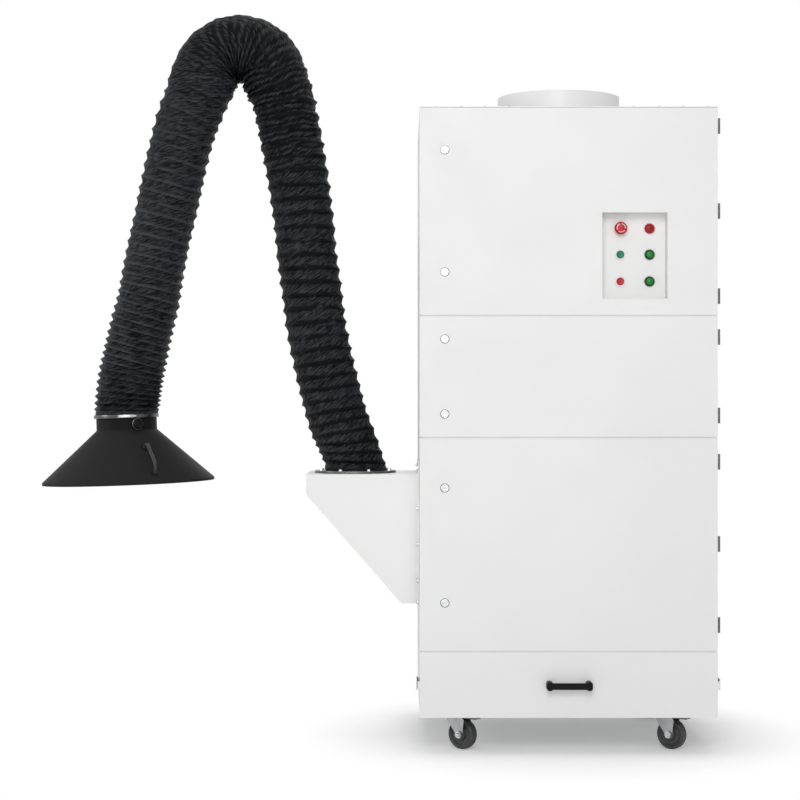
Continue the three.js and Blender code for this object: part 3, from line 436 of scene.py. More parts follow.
def tube(inner, outer, low, high, rounding):
    """The closed profile of a round band."""
    corners = [(inner, low), (outer, low), (outer, high), (inner, high), (inner, low + 0.0001)]
    return rounded(corners, rounding)


def basis(origin, x, y, z):
    matrix = Matrix((x, y, z)).transposed().to_4x4()
    matrix.translation = origin
    return matrix


def frame_at(origin, axis):
    """A matrix whose Z lies along axis, with its X as near to the world's Z as that allows."""
    z = Vector(axis).normalized()
    x = Vector((0, 0, 1)) - z * z.z
    if x.length < 1e-6:
        x = Vector((1, 0, 0)) - z * z.x
    x.normalize()
    return basis(Vector(origin), x, z.cross(x), z)


class Bundle:
    """Small pieces of one material, such as bolts, gathered into one mesh."""

    def __init__(self):
        self.verts = []
        self.faces = []

    def add(self, verts, faces, matrix):
        start = len(self.verts)
        self.verts += placed(verts, matrix)
        self.faces += [[start + k for k in face] for face in faces]

    def lathe(self, profile, matrix, sides=24):
        self.add(*lathe_mesh(profile, sides), matrix)

    def finish(self, name, material, body, slot, *replaced, edges=None):
        """The gathered mesh as a piece, its edges rounded by the width, segments and angle in edges."""
        made = mesh_object(name, self.verts, self.faces, material)
        if edges:
            bevelled(made, *edges)
        return attach(made, body, slot, *replaced)


bolt_sink = -0.0005


def dome_bolt(bundle, place, axis, radius):
    """A domed screw head with a socket, standing on a face whose outward normal is axis."""
    top = radius * 0.75
    socket = top - radius * 0.4
    bundle.lathe([
        (0, bolt_sink), (radius, bolt_sink), (radius, radius * 0.25), (radius * 0.8, radius * 0.58),
        (radius * 0.45, top), (radius * 0.42, top), (radius * 0.4, socket), (0, socket),
    ], frame_at(place, axis))


def hex_bolt(bundle, place, axis, radius, washer):
    """A hexagon head on a round washer."""
    matrix = frame_at(place, axis)
    rim = radius * 1.6
    bundle.lathe([(0, bolt_sink), (rim, bolt_sink), (rim, washer), (0, washer)], matrix)
    height = radius * 0.8
    top = washer + height
    bundle.lathe([
        (0, bolt_sink), (radius, bolt_sink), (radius, top - height * 0.12), (radius * 0.86, top), (0, top),
    ], matrix, 6)


def rod_mesh(points, radius, sides):
    """Verts and faces of a round bar along a list of points, with closed ends."""
    verts, faces = [], []
    last = len(points) - 1
    side = None
    for i, point in enumerate(points):
        tangent = (points[min(i + 1, last)] - points[max(i - 1, 0)]).normalized()
        if side is None:
            side = tangent.orthogonal().normalized()
        side = (side - tangent * tangent.dot(side)).normalized()
        up = tangent.cross(side)
        for k in range(sides):
            angle = 2 * pi * k / sides
            verts.append(point + (side * cos(angle) + up * sin(angle)) * radius)
    for i in range(last):
        for k in range(sides):
            j = (k + 1) % sides
            faces.append([i * sides + k, i * sides + j, (i + 1) * sides + j, (i + 1) * sides + k])
    faces.append(list(range(sides))[::-1])
    faces.append([last * sides + k for k in range(sides)])
    return verts, faces


def smooth_line(points, steps):
    """Catmull-Rom points through a list of places."""
    points = [Vector(p) for p in points]
    ends = [points[0] * 2 - points[1], *points, points[-1] * 2 - points[-2]]
    line = []
    for a, b, c, d in zip(ends, ends[1:], ends[2:], ends[3:]):
        for i in range(steps):
            t = i / steps
            line.append(0.5 * (2 * b + (c - a) * t + (2 * a - 5 * b + 4 * c - d) * t * t
                               + (3 * b - a - 3 * c + d) * t ** 3))
    line.append(points[-1])
    return line


# Places and directions read from the joints

joints = {joint["name"]: joint for joint in frame["joints"]}


def pivot(name):
    return Vector(joints[name]["pos_m"])


def axis(name):
    return Vector(joints[name]["axis"]).normalized()


front = Vector((0, -1, 0))
swivel_place = pivot("arm_swivel")
hood_up = axis("hood_turn")
hood_front = axis("damper_turn")
neck_rise = 0.075  # from the hood collar's top to the pivot that the hood tilts on
hood_foot = pivot("hood_tilt") - hood_up * neck_rise
hood_place = basis(hood_foot, (-hood_front).cross(hood_up), -hood_front, hood_up)

# Suction hose: its centre line, given as places left of the swivel axis and heights

hose_crest = 0.09
hose_valley = 0.0835
arch_centre = (0.332, 1.8577)
arch_radius = 0.1
arch_angles = (163, 140, 117, 92, 68, 45, 21)
right_leg = [
    (-0.003, 0.7512), (0.0045, 0.778), (0.0225, 0.825), (0.0492, 0.8937), (0.0653, 0.951), (0.083, 1.0226),
    (0.0985, 1.094), (0.1128, 1.1658), (0.1226, 1.2375), (0.1314, 1.309), (0.1403, 1.3807), (0.1469, 1.4523),
    (0.1558, 1.5239), (0.1658, 1.5955), (0.1787, 1.6672), (0.1919, 1.7388), (0.2074, 1.8104),
]
left_leg = [
    (0.4572, 1.8104), (0.4849, 1.7388), (0.5038, 1.6672), (0.5202, 1.5955), (0.5354, 1.5239),
    (0.5511, 1.4523), (0.5663, 1.3807), (0.5806, 1.309), (0.5932, 1.2375), (0.6101, 1.1658),
    (0.6259, 1.0942), (0.6415, 1.0226), (0.6508, 0.9567), (0.6557, 0.8997),
]
rib_pitches = (
    (0.0, 0.026), (0.06, 0.032), (0.15, 0.039), (0.45, 0.04), (0.55, 0.037),
    (0.72, 0.033), (0.86, 0.027), (0.94, 0.019), (1.0, 0.015),
)
# How much painted highlight the wire's crests take, by share of the hose's length; below 0 it darkens them.
crest_highlights = (
    (0.0, -0.5), (0.35, -0.4), (0.45, 0.3), (0.55, 0.7), (0.66, 1.1), (0.8, 1.6), (0.93, 2.2), (1.0, 1.0),
)
hose_girth = (  # how much wider than its usual radius the hose is, by share of its length
    (0.0, 0.0), (0.3, 0.0), (0.4, 0.004), (0.5, 0.0055), (0.6, 0.005), (0.68, 0.002),
    (0.76, 0.0), (1.0, 0.0),
)
hose_columns = 168
rows_per_rib = 10
seams = (0.352, 0.645)  # shares of the length at which one length of the hose meets the next
bend_reach = 1.3  # in arch radii from the arch's middle: how far out the hose counts as bent
bend_floor = 1.8
elbow_half = 0.064  # half the width of the stretch that folds at the elbow
tilt_low, tilt_high = 0.76, 0.9  # heights between which the hose takes up the shoulder's tilt
neck_low, neck_high = 0.9, 1.06  # and the hood's

# How deep the cloth's folds are: long and short creases, those that the arch squeezes and fans out,
# the puckers on the wire and the slack between its turns

broad_depth, narrow_depth = 0.0032, 0.0015
squeezed_depth, fan_depth, fan_squeezed_depth = 0.006, 0.0042, 0.003
pucker_depth, slack_depth = 0.0007, 0.0014
cuff_gap = 0.0008


def between(table, at):
    for (x0, y0), (x1, y1) in zip(table, table[1:]):
        if at <= x1:
            return y0 + (y1 - y0) * (at - x0) / (x1 - x0)
    return table[-1][1]


def smoothstep(low, high, at):
    t = min(max((at - low) / (high - low), 0), 1)
    return t * t * (3 - 2 * t)


class Route:
    """The hose's centre line, by distance along it and by count of wire turns."""

    def __init__(self):
        arch = [
            (arch_centre[0] + arch_radius * cos(radians(a)),
             arch_centre[1] + arch_radius * sin(radians(a))) for a in arch_angles
        ]
        line = [(swivel_place.x - u, swivel_place.y, z) for u, z in right_leg + arch + left_leg]
        self.points = smooth_line(line, 24)
        self.reach = [0.0]
        for a, b in zip(self.points, self.points[1:]):
            self.reach.append(self.reach[-1] + (b - a).length)
        self.length = self.reach[-1]
        self.turns = [0.0]
        for before, at in zip(self.reach, self.reach[1:]):
            self.turns.append(self.turns[-1] + (at - before) / between(rib_pitches, at / self.length))

    def look_up(self, table, value):
        """The step of a rising table that holds value, and how far along that step it is."""
        low = min(max(bisect_right(table, value) - 1, 0), len(table) - 2)
        return low, (value - table[low]) / (table[low + 1] - table[low])

    def at_turn(self, turn):
        """Centre, tangent and distance along the route at a count of wire turns."""
        i, t = self.look_up(self.turns, turn)
        centre = self.points[i].lerp(self.points[i + 1], t)
        before = self.points[max(i - 1, 0)]
        after = self.points[min(i + 2, len(self.points) - 1)]
        first = (self.points[i + 1] - before).normalized()
        second = (after - self.points[i]).normalized()
        reach = self.reach[i] + (self.reach[i + 1] - self.reach[i]) * t
        return centre, first.lerp(second, t).normalized(), reach

    def turn_at(self, distance):
        i, t = self.look_up(self.reach, distance)
        return self.turns[i] + (self.turns[i + 1] - self.turns[i]) * t


route = Route()


def crease(place, octaves=2):
    """A noise with sharp dark lines and smooth fields between them, from 0 on a line to 1."""
    return min(abs(noise.fractal(place, 1.0, 2.1, octaves, noise_basis="PERLIN_ORIGINAL")) * 2.6, 1)


def fan_zone(reach):
    """How much the cloth is gathered in narrow folds: only round the arch."""
    share = reach / route.length
    return smoothstep(0.32, 0.42, share) * smoothstep(0.62, 0.52, share)


def bunched(reach):
    """How close together the wire's turns lie: only near the hood."""
    return smoothstep(0.78, 0.95, reach / route.length)


def fan_fold(turn, angle):
    """The narrow folds that fan out from the inside of the arch, 0 in a groove and 1 on a ridge."""
    gather = noise.noise(round_at(angle, 1.5, turn * 0.8)) * 0.7
    return abs(sin(pi * (turn * 2.5 + gather + angle / 5)))


def on_wire(turn, angle, reach):
    """How near a place is to the wire, 1 on it and 0 midway, and its painted light and shade: a highlight
    along the wire's crests, shade just below the wire and in the arch's fan grooves.
    """
    wobble = noise.noise(Vector((reach * 9, cos(angle) * 0.7, sin(angle) * 0.7)))
    phase = turn + angle / (2 * pi) + wobble * 0.12
    across = abs((phase % 1.0) - 0.5) * 2
    patchy = 0.6 + 0.8 * noise.noise(round_at(angle, 2, turn * 1.7 + 5))
    crest_highlight = between(crest_highlights, reach / route.length)
    # Painted shade in the crease just below the wire, deeper where the turns lie close.
    below = smoothstep(0.5, 0.9, 1 - abs((phase + 0.12) % 1.0 * 2 - 0.3)) * (0.7 + 0.8 * bunched(reach))
    # Painted shade in the fan grooves round the arch.
    groove = (1 - fan_fold(turn, angle)) ** 2 * fan_zone(reach)
    return across, (smoothstep(0.6, 0.96, across) * crest_highlight - below) * patchy - groove * 1.1


def hose_offset(turn, angle, pitch, squeeze, taut, reach):
    """How far the cloth stands from the centre line."""
    across = on_wire(turn, angle, reach)[0]
    hollow = 1 - across
    close = bunched(reach)
    deep = (hose_crest - hose_valley) * (1 + 0.25 * close) * (1 - 0.6 * taut)
    drop = deep * hollow ** (0.72 + 0.3 * close) * min(1.25, 0.55 + pitch / 0.055 + 0.4 * close)
    drop -= close * 0.0055 + between(hose_girth, reach / route.length) + taut * 0.002 + squeeze * 0.006
    broad = crease(round_at(angle - reach * 8.5, 2.6, reach * 13))
    narrow = crease(round_at(angle - reach * 4.0, 7, reach * 30 + 40))
    loose = min(hollow * 2.2, 1)
    folds = ((1 - broad) ** 2 * broad_depth + (1 - narrow) ** 3 * narrow_depth) * (1 - 0.8 * close)
    squeezed = squeeze * (1 - crease(round_at(angle, 3, turn * 3.2 + 9))) * squeezed_depth
    pucker = (1 - crease(round_at(angle, 16, reach * 8 + 80), 1)) ** 2 * pucker_depth
    fan = (1 - fan_fold(turn, angle)) * (fan_depth + fan_squeezed_depth * squeeze) * (1 - 0.45 * taut)
    scale = min(pitch / 0.036, 1)
    slack = noise.noise(round_at(angle, 1, reach * 7 + 30)) * slack_depth
    sunk = folds * loose * scale + squeezed * loose + pucker * across + fan * fan_zone(reach)
    return hose_crest - drop - sunk + slack


def hose_vertex(turn, angle):
    centre, tangent, reach = route.at_turn(turn)
    tangent = tangent.lerp(Vector((0, 0, 1)), smoothstep(0.2, 0.0, reach)).normalized()
    tangent = tangent.lerp(-hood_up, smoothstep(route.length - 0.12, route.length, reach)).normalized()
    side = tangent.cross(front).normalized()
    direction = front * cos(angle) + side * sin(angle)
    pitch = between(rib_pitches, reach / route.length)
    to_arch = centre - Vector((swivel_place.x - arch_centre[0], swivel_place.y, arch_centre[1]))
    bent = to_arch.length < arch_radius * bend_reach and centre.z > bend_floor
    inward = -direction.dot(to_arch.normalized()) if bent else 0
    curved = smoothstep(0, 0.3, bend_reach - to_arch.length / arch_radius)
    squeeze = smoothstep(0.05, 0.9, inward) * curved
    taut = smoothstep(0.1, 0.8, -inward) * curved
    radius = hose_offset(turn, angle, pitch * (1 - 0.8 * squeeze), squeeze, taut, reach)
    cuff = max(smoothstep(0.018, 0.002, reach), smoothstep(route.length - 0.03, route.length - 0.016, reach))
    radius += (hose_crest - cuff_gap - radius) * cuff
    return centre + direction * radius


def hose_stretch(name, first, last):
    """The hose's cloth between two distances along the route, its rows following the wire's helix."""
    start, end = route.turn_at(first), route.turn_at(last)
    keys, verts, uvs, faces, wire = {}, [], [], [], []

    def vertex(row, column):
        turn = min(max(row / rows_per_rib - column / hose_columns, start), end)
        key = (round(turn * 1e6), column % hose_columns)
        if key not in keys:
            keys[key] = len(verts)
            angle = 2 * pi * key[1] / hose_columns
            verts.append(hose_vertex(turn, angle))
            # The painted highlight and shade that on_wire gives this vertex, for the cloth's colour.
            wire.append(on_wire(turn, angle, route.at_turn(turn)[2])[1])
        return keys[key], turn

    for row in range(int(start * rows_per_rib), int((end + 1) * rows_per_rib) + 1):
        for column in range(hose_columns):
            corners, places = [], []
            for r, c in ((row, column), (row, column + 1), (row + 1, column + 1), (row + 1, column)):
                index, turn = vertex(r, c)
                if index not in corners:
                    corners.append(index)
                    places.append((c / hose_columns, turn))
            if len(corners) > 2 and max(t for _, t in places) > min(t for _, t in places):
                faces.append(corners)
                uvs += [(u, route.at_turn(t)[2] / route.length) for u, t in places]
    made = mesh_object(name, verts, faces, hose_fabric, oriented=True)
    made.data.attributes.new("wire", "FLOAT", "POINT").data.foreach_set("value", wire)
    layer = made.data.uv_layers.new(name="cloth")
    for corner, uv in zip(layer.data, uvs):
        corner.uv = uv
    made.data.set_sharp_from_angle(angle=radians(60))
    return made


seam_low, seam_high = (share * route.length for share in seams)
elbow = pivot("elbow_fold")
swivel_x, swivel_y, _ = swivel_place
hood_x, hood_y, _ = hood_foot
for part, first, last, a, b, start, end in (
    ("lower", 0.0, seam_low, "turntable", "lower_arm",
     (swivel_x, swivel_y, tilt_low), (swivel_x, swivel_y, tilt_high)),
    ("elbow", seam_low, seam_high, "lower_arm", "upper_arm",
     (elbow.x + elbow_half, elbow.y, elbow.z), (elbow.x - elbow_half, elbow.y, elbow.z)),
    ("upper", seam_high, route.length, "upper_arm", "neck",
     (hood_x, hood_y, neck_high), (hood_x, hood_y, neck_low)),
):
    made = hose_stretch(f"suction_hose_{part}", first, last)
    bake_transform(made)
    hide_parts(f"hose_{part}")


# Cabinet: panels, doors and drawer with rounded sheet edges

sheet_edge = 0.0007
pressed_edge = 0.0009
hinge_outset = 0.0004  # what stands this far beyond the side panel on a door is a hinge knuckle

for node, body in (
    ("left_side_panel", "cabinet"), ("right_side_panel", "cabinet"), ("back_panel", "cabinet"),
    ("roof_panel", "cabinet"), ("intake_box", "cabinet"), ("dust_drawer", "drawer"),
    ("lock_rail", "cabinet"),
):
    softened(node, body, "white_paint", white_paint, sheet_edge, 3)

for level in ("upper", "middle", "lower"):
    skin = softened(f"{level}_door", f"{level}_door", "white_paint", white_paint, sheet_edge, 3)
    repaint(skin, dark_steel, lambda place: place.x > cabinet_right + hinge_outset)
    softened(f"{level}_hinge_strip", "cabinet", "dark_steel", dark_steel, 0.0005, 2)

# Rails in the seams between the doors and over the drawer, a little behind their faces

rail_room = 0.0004
rail_start, rail_end = 0.001, 0.003  # from the lock rail's left side and the cabinet's right side
rail_sunk, rail_back = 0.0012, 0.0225  # behind the doors' front face
rail_width = (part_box("lock_rail")[0].x + rail_start, cabinet_right - rail_end)
rail_depth = (cabinet_front + rail_sunk, cabinet_front + rail_back)
fronts = ("dust_drawer", "lower_door", "middle_door", "upper_door")
for below, above in zip(fronts, fronts[1:]):
    rail = Bundle()
    rail_height = (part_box(below)[1].z + rail_room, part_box(above)[0].z - rail_room)
    rail.add(box_corners(rail_width, rail_depth, rail_height), box_faces, Matrix())
    rail.finish(f"rail_over_{below}", white_paint, "cabinet", "white_paint", edges=(0.0004, 2))

# Bolts: a row that holds the roof, and those of the intake's flange plate and of the swivel ring

bolt_radius = 0.0045
bolt_washer = 0.0012
bolt_inset = 0.012
ring_bolt_radius = 0.005
ring_bolt_washer = 0.001
roof_bolts = (0.043, 0.11, 0.175, 0.24, 0.575, 0.645, 0.709, 0.776)
roof_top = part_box("roof_panel")[1].z
places = [
    (cabinet_left + across, y) for across in roof_bolts
    for y in (cabinet_front + bolt_inset, cabinet_back - bolt_inset)
] + [
    (x, cabinet_front + share * (cabinet_back - cabinet_front)) for share in (0.25, 0.5, 0.75)
    for x in (cabinet_left + bolt_inset, cabinet_right - bolt_inset)
]
bolts = Bundle()
for place in places:
    dome_bolt(bolts, (*place, roof_top), (0, 0, 1), bolt_radius)
bolts.finish("roof_bolts", zinc_plate, "cabinet", "zinc")

flange_low, flange_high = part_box("intake_box")
flange_face = flange_high.x - 0.0033
flange_edge = 0.006
bolts = Bundle()
for height in (0.388, 0.449, 0.55, 0.649, 0.762):
    for y in (flange_low.y + flange_edge, flange_high.y - flange_edge):
        hex_bolt(bolts, (flange_face, y, height), (-1, 0, 0), bolt_radius, bolt_washer)
bolts.finish("intake_flange_bolts", zinc_plate, "cabinet", "zinc")

ring_low, ring_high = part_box("swivel_flange")
ring_radius = (ring_high.x - ring_low.x) / 2
ring_bore = 0.0805
ring_thick = ring_high.z - ring_low.z
ring_place = Matrix.Translation((swivel_place.x, swivel_place.y, ring_low.z))
profile = tube(ring_bore, ring_radius, 0, ring_thick, 0.0008)
turned("swivel_ring", profile, ring_place, 96, dark_steel, "cabinet", "steel", "swivel_flange", closed=True)
bolts = Bundle()
for i in range(8):
    place = ring_place @ round_at(radians(22.5 + 45 * i), ring_radius - bolt_inset, ring_thick)
    hex_bolt(bolts, place, (0, 0, 1), ring_bolt_radius, ring_bolt_washer)
bolts.finish("swivel_ring_bolts", zinc_plate, "cabinet", "zinc")

# Outlet collar: a rolled-edge tube on a flange

collar_low, collar_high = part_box("outlet_collar")
flange_radius = (collar_high.x - collar_low.x) / 2
collar_radius = 0.1735
collar_wall = 0.002
flange_thick = 0.003
collar_tall = collar_high.z - collar_low.z
collar_place = Matrix.Translation((cabinet_middle, middle_y, collar_low.z))
profile = rounded([
    (collar_radius - collar_wall, 0), (flange_radius, 0), (flange_radius, flange_thick),
    (collar_radius, flange_thick), (collar_radius, collar_tall), (collar_radius - collar_wall, collar_tall),
    (collar_radius - collar_wall, 0.0001),
], 0.0009)
turned("outlet_ring", profile, collar_place, 128, white_paint, "cabinet", "white_paint", "outlet_collar",
       closed=True)

# Quarter-turn locks: a bright ring round a steel core, whose slot is a black bar of painted shade

lock_radius = 0.0102
lock_proud = 0.003
lock_floor = lock_proud - 0.0016
lock_room = 0.0004  # between the ring and the door
core_radius = 0.0078
core_top = lock_proud - 0.0004
core_floor = lock_proud - 0.0011
barrel_radius = 0.008
tongue_thick = 0.003
tongue_share = 14 / 25  # the tongue's width, as a share of the node's
washer_bore = 0.0086
washer_rim = 0.0125
washer_thick = 0.0003  # less than the room under the lock's ring
slot_half, slot_thin = 0.0046, 0.0007
for level in ("upper", "middle", "lower"):
    for end in ("top", "bottom"):
        node = f"{level}_door_lock_{end}"
        body = f"{level}_lock_{end}"
        low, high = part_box(node)
        centre = pivot(f"{body}_turn")
        matrix = frame_at((centre.x, cabinet_front, centre.z), front)
        barrel_end = cabinet_front - high.y + tongue_thick
        ring = Bundle()
        ring.lathe(rounded([
            (0, barrel_end), (barrel_radius, barrel_end), (barrel_radius, lock_room),
            (lock_radius, lock_room), (lock_radius, lock_proud), (core_radius, lock_proud),
            (core_radius, lock_floor), (0, lock_floor),
        ], 0.0009), matrix, 48)
        middle = (low.x + high.x) / 2
        half = (high.x - low.x) / 2 * tongue_share
        tongue_deep = (high.y - tongue_thick, high.y)
        tongue = box_corners((middle - half, middle + half), tongue_deep, (low.z, centre.z + half))
        ring.add(tongue, box_faces, Matrix())
        ring.finish(f"{node}_ring", zinc_plate, body, "zinc", node)
        core = [
            (0, 0.0002), (core_radius - 0.0003, 0.0002), (core_radius - 0.0003, lock_proud - 0.0009),
            (core_radius - 0.001, core_top), (0.0034, core_top), (0.0032, core_floor), (0, core_floor),
        ]
        turned(f"{node}_core", core, matrix, 32, bare_steel, body, "steel")
        washer = [
            (washer_bore, 0), (washer_rim, 0), (washer_rim, washer_thick), (washer_bore, washer_thick),
        ]
        turned(f"{node}_washer", washer, matrix, 48, dark_steel, f"{level}_door", "dark_steel", closed=True)
        # The slot is a thin black bar on the core, not a cut: painted shade for the inside of the key slot.
        slot = Bundle()
        slot_deep = (lock_proud - 0.0012, lock_proud - 0.0003)
        slot.add(box_corners((-slot_thin, slot_thin), (-slot_half, slot_half), slot_deep), box_faces, matrix)
        slot.finish(f"{node}_slot", black_plastic, body, "black_plastic")

# Controls in the recess

recess_depth = 0.05


def control_place(node):
    low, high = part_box(node)
    return frame_at(((low.x + high.x) / 2, cabinet_front + recess_depth, (low.z + high.z) / 2), front)


stop_place = control_place("estop_button")
profile = rounded([
    (0, -0.012), (0.008, -0.012), (0.008, 0.0155), (0.0172, 0.0162), (0.01745, 0.0195), (0.0168, 0.0232),
    (0.0145, 0.0258), (0.0105, 0.0272), (0.0055, 0.0277), (0, 0.0278),
], 0.0012, 4)
turned("stop_mushroom", profile, stop_place, 64, red_plastic, "estop", "signal_red", "estop_button")

arrow_radius = 0.0112
arrow_half = 0.0011
arrow_steps = 18
arrow_head = 0.78  # share of the arc at which the head begins
head_width = 2.3  # times the line's width
crown = ((0, 0.0278), (0.0055, 0.02772), (0.0105, 0.02725), (0.0145, 0.0259), (0.0168, 0.0234))


def arrow_mesh(start, end):
    """Verts and faces of a thin raised arc on the stop button that ends in an arrow head."""
    verts, faces = [], []
    for i in range(arrow_steps + 1):
        share = i / arrow_steps
        angle = radians(start + (end - start) * share)
        tip = head_width * (1 - share) / (1 - arrow_head)
        half = max(arrow_half if share < arrow_head else arrow_half * tip, 0.00005)
        for radius in (arrow_radius - half, arrow_radius + half):
            verts.append(round_at(angle, radius, between(crown, radius) + 0.00012))
        if i:
            faces.append([2 * i - 2, 2 * i - 1, 2 * i + 1, 2 * i])
    return verts, faces


arrows = Bundle()
for turn in (0, 120, 240):
    arrows.add(*arrow_mesh(20 + turn, 118 + turn), stop_place)
arrows.finish("stop_mushroom_arrows", white_plastic, "estop", "white_plastic")

for body, material, slot in (("start", green_plastic, "signal_green"), ("stop", red_plastic, "signal_red")):
    node = f"{body}_button"
    profile = rounded([
        (0, -0.0098), (0.0104, -0.0098), (0.0104, 0.0076), (0.0088, 0.0096), (0.0072, 0.0092), (0, 0.0086),
    ], 0.0008)
    turned(f"{node}_cap", profile, control_place(node), 48, material, body, slot, node)

lens_radius = 0.0087
lens_rings = 7
for node, material, rim_material, slot in (
    ("lamp_red", red_lens, red_plastic, "signal_red"),
    ("lamp_green_upper", green_lens, green_rim, "signal_green"),
    ("lamp_green_lower", green_lens, green_rim, "signal_green"),
):
    matrix = control_place(node)
    profile = rounded([
        (0, 0.0004), (0.0139, 0.0004), (0.0139, 0.0034), (0.0132, 0.0042), (0.0118, 0.0046),
        (0.0112, 0.0088), (0.0098, 0.0102), (0.0092, 0.0094), (0.0086, 0.0094),
    ], 0.0006)
    profile.append((0, 0.0094))
    turned(f"{node}_body", profile, matrix, 48, rim_material, "upper_door", slot, node)
    profile = [(0, 0.009), (lens_radius, 0.009), (lens_radius, 0.0098)]
    for i in range(1, lens_rings):
        ring = lens_radius * (1 - i / lens_rings)
        swell = 0.0098 + 0.0009 * (1 - (ring / lens_radius) ** 2)
        profile += [(ring + 0.0004, swell), (ring + 0.0002, swell - 0.0003), (ring, swell)]
    profile.append((0, 0.0107))
    turned(f"{node}_lens", profile, matrix, 48, material, "upper_door", slot)

bezels = Bundle()
for inner, outer, tall, controls in (
    (0.0109, 0.0145, 0.0022, ("start_button", "stop_button")),
    (0.0141, 0.0165, 0.0014, ("lamp_red", "lamp_green_upper", "lamp_green_lower")),
):
    profile = [(inner, 0.0001), (outer, 0.0001), (outer, tall * 0.6), (outer - 0.0006, tall), (inner, tall)]
    for node in controls:
        bezels.lathe(profile, control_place(node), 48)
bezels.finish("control_bezels", white_plastic, "upper_door", "white_plastic")

# Drawer: bridge handle on rounded feet with its screws, and the toggle latches

handle_foot = 0.0175
foot_corner = 0.0078
handle_bar = 0.008
bar_half = 0.0087
screw_radius = 0.0052
screw_sunk = 0.0042  # so that the screws stay inside the CAD's box


def prism_mesh(low, high, corner, steps=6):
    """Verts and faces of a block along Y whose four corners in front view are rounded."""
    outline = []
    for quarter, (x, z) in enumerate((
        (high.x - corner, high.z - corner), (low.x + corner, high.z - corner),
        (low.x + corner, low.z + corner), (high.x - corner, low.z + corner),
    )):
        for i in range(steps + 1):
            turn = pi / 2 * (quarter + i / steps)
            outline.append((x + corner * cos(turn), z + corner * sin(turn)))
    count = len(outline)
    verts = [(x, y, z) for y in (low.y, high.y) for x, z in outline]
    faces = [[i, (i + 1) % count, count + (i + 1) % count, count + i] for i in range(count)]
    return verts, faces + [list(range(count))[::-1], list(range(count, 2 * count))]


handle_low, handle_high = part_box("drawer_handle")
handle_level = (handle_low.z + handle_high.z) / 2
foot_places = (handle_low.x, handle_high.x - handle_foot)
blocks = Bundle()
screws = Bundle()
for left in foot_places:
    low = Vector((left, handle_low.y, handle_low.z))
    high = Vector((left + handle_foot, handle_high.y, handle_high.z))
    blocks.add(*prism_mesh(low, high, foot_corner), Matrix())
    dome_bolt(screws, (left + handle_foot / 2, handle_low.y + screw_sunk, handle_level), front, screw_radius)
low = Vector((foot_places[0] + handle_foot / 2, handle_low.y + 0.0004, handle_level - bar_half))
high = Vector((foot_places[1] + handle_foot / 2, handle_low.y + handle_bar, handle_level + bar_half))
blocks.add(*prism_mesh(low, high, 0.001, 1), Matrix())
blocks.finish("drawer_bridge_handle", black_plastic, "drawer", "black_plastic", "drawer_handle",
              edges=(0.0012, 3, 50))
screws.finish("drawer_handle_screws", zinc_plate, "drawer", "zinc")

for side in ("left", "right"):
    softened(f"drawer_latch_{side}", f"latch_{side}", "steel", zinc_plate, pressed_edge, 3)

# Hood: collar and cone of painted sheet, damper with its knob, and bow handle

collar_outer = 0.086
collar_drop = 0.034
rim_radius = 0.2447
cone_tall = 0.15
rim_lip = 0.007
hood_wall = 0.002
neck_bore = 0.0795
cone_low = -collar_drop - cone_tall
profile = rounded([
    (neck_bore, 0), (collar_outer, 0), (collar_outer, -collar_drop), (rim_radius, cone_low + rim_lip),
    (rim_radius, cone_low), (rim_radius - hood_wall, cone_low), (rim_radius - hood_wall, cone_low + rim_lip),
    (collar_outer - hood_wall, -collar_drop - hood_wall), (collar_outer - hood_wall, -hood_wall),
    (neck_bore, -hood_wall), (neck_bore, -0.0001),
], 0.0011, 4)
shell = turned("hood_shell", profile, hood_place, 160, black_paint, "hood", "black_paint", "hood",
               closed=True)
# The collar takes the darker copy of the hood's paint: painted shade on its upright face.
repaint(shell, shaded_collar_paint, lambda place: (hood_place.inverted() @ place).z > 0.001 - collar_drop)

damper_drop = -0.017
blade_radius = 0.056
blade_half = 0.00125
shaft_radius = 0.004
knob_back = collar_outer + 0.004
shaft_end = knob_back + 0.001
shaft_frame = hood_place @ frame_at((0, 0, damper_drop), front)
blade = Bundle()
blade.lathe([(0, -blade_half), (blade_radius, -blade_half), (blade_radius, blade_half), (0, blade_half)],
            hood_place @ frame_at((0, 0, damper_drop), (1, 0, 0)), 96)
blade.lathe([(0, -knob_back), (shaft_radius, -knob_back), (shaft_radius, shaft_end), (0, shaft_end)],
            shaft_frame)
blade.finish("damper_blade", bare_steel, "damper", "steel", "damper")
knob_frame = shaft_frame @ Matrix.Translation((0, 0, knob_back))
profile = rounded([
    (0, 0), (0.0128, 0), (0.015, 0.003), (0.015, 0.0105), (0.0134, 0.0132), (0.0098, 0.014),
    (0.0085, 0.0128), (0, 0.0128),
], 0.0014, 4)
turned("damper_knob", profile, knob_frame, 48, black_plastic, "damper", "black_plastic")
profile = [(0.0152, 0.0035), (0.0163, 0.0035), (0.0163, 0.0062), (0.0152, 0.0066)]
turned("damper_knob_ring", profile, knob_frame, 48, band_steel, "damper", "dark_steel")
wing, wing_long = 0.0028, 0.009
pointer = Bundle()
pointer.add(box_corners((-wing, wing), (-wing_long, wing_long), (0.0125, 0.0139)), box_faces, knob_frame)
pointer.finish("damper_pointer", black_plastic, "damper", "black_plastic", edges=(0.0004,))

slope = atan2(rim_radius - collar_outer, cone_tall - rim_lip)
handle_start, handle_end = 0.355, 0.845  # shares of the cone's face
handle_proud = 0.026
handle_radius = 0.0048
handle_sunk = 0.0006


def on_cone(share, lift):
    """A place in the hood's own frame, in front of the cone, that far down its face."""
    radius = collar_outer + (rim_radius - collar_outer) * share + lift * cos(slope)
    height = -collar_drop - (cone_tall - rim_lip) * share + lift * sin(slope)
    return Vector((0, -radius, height))


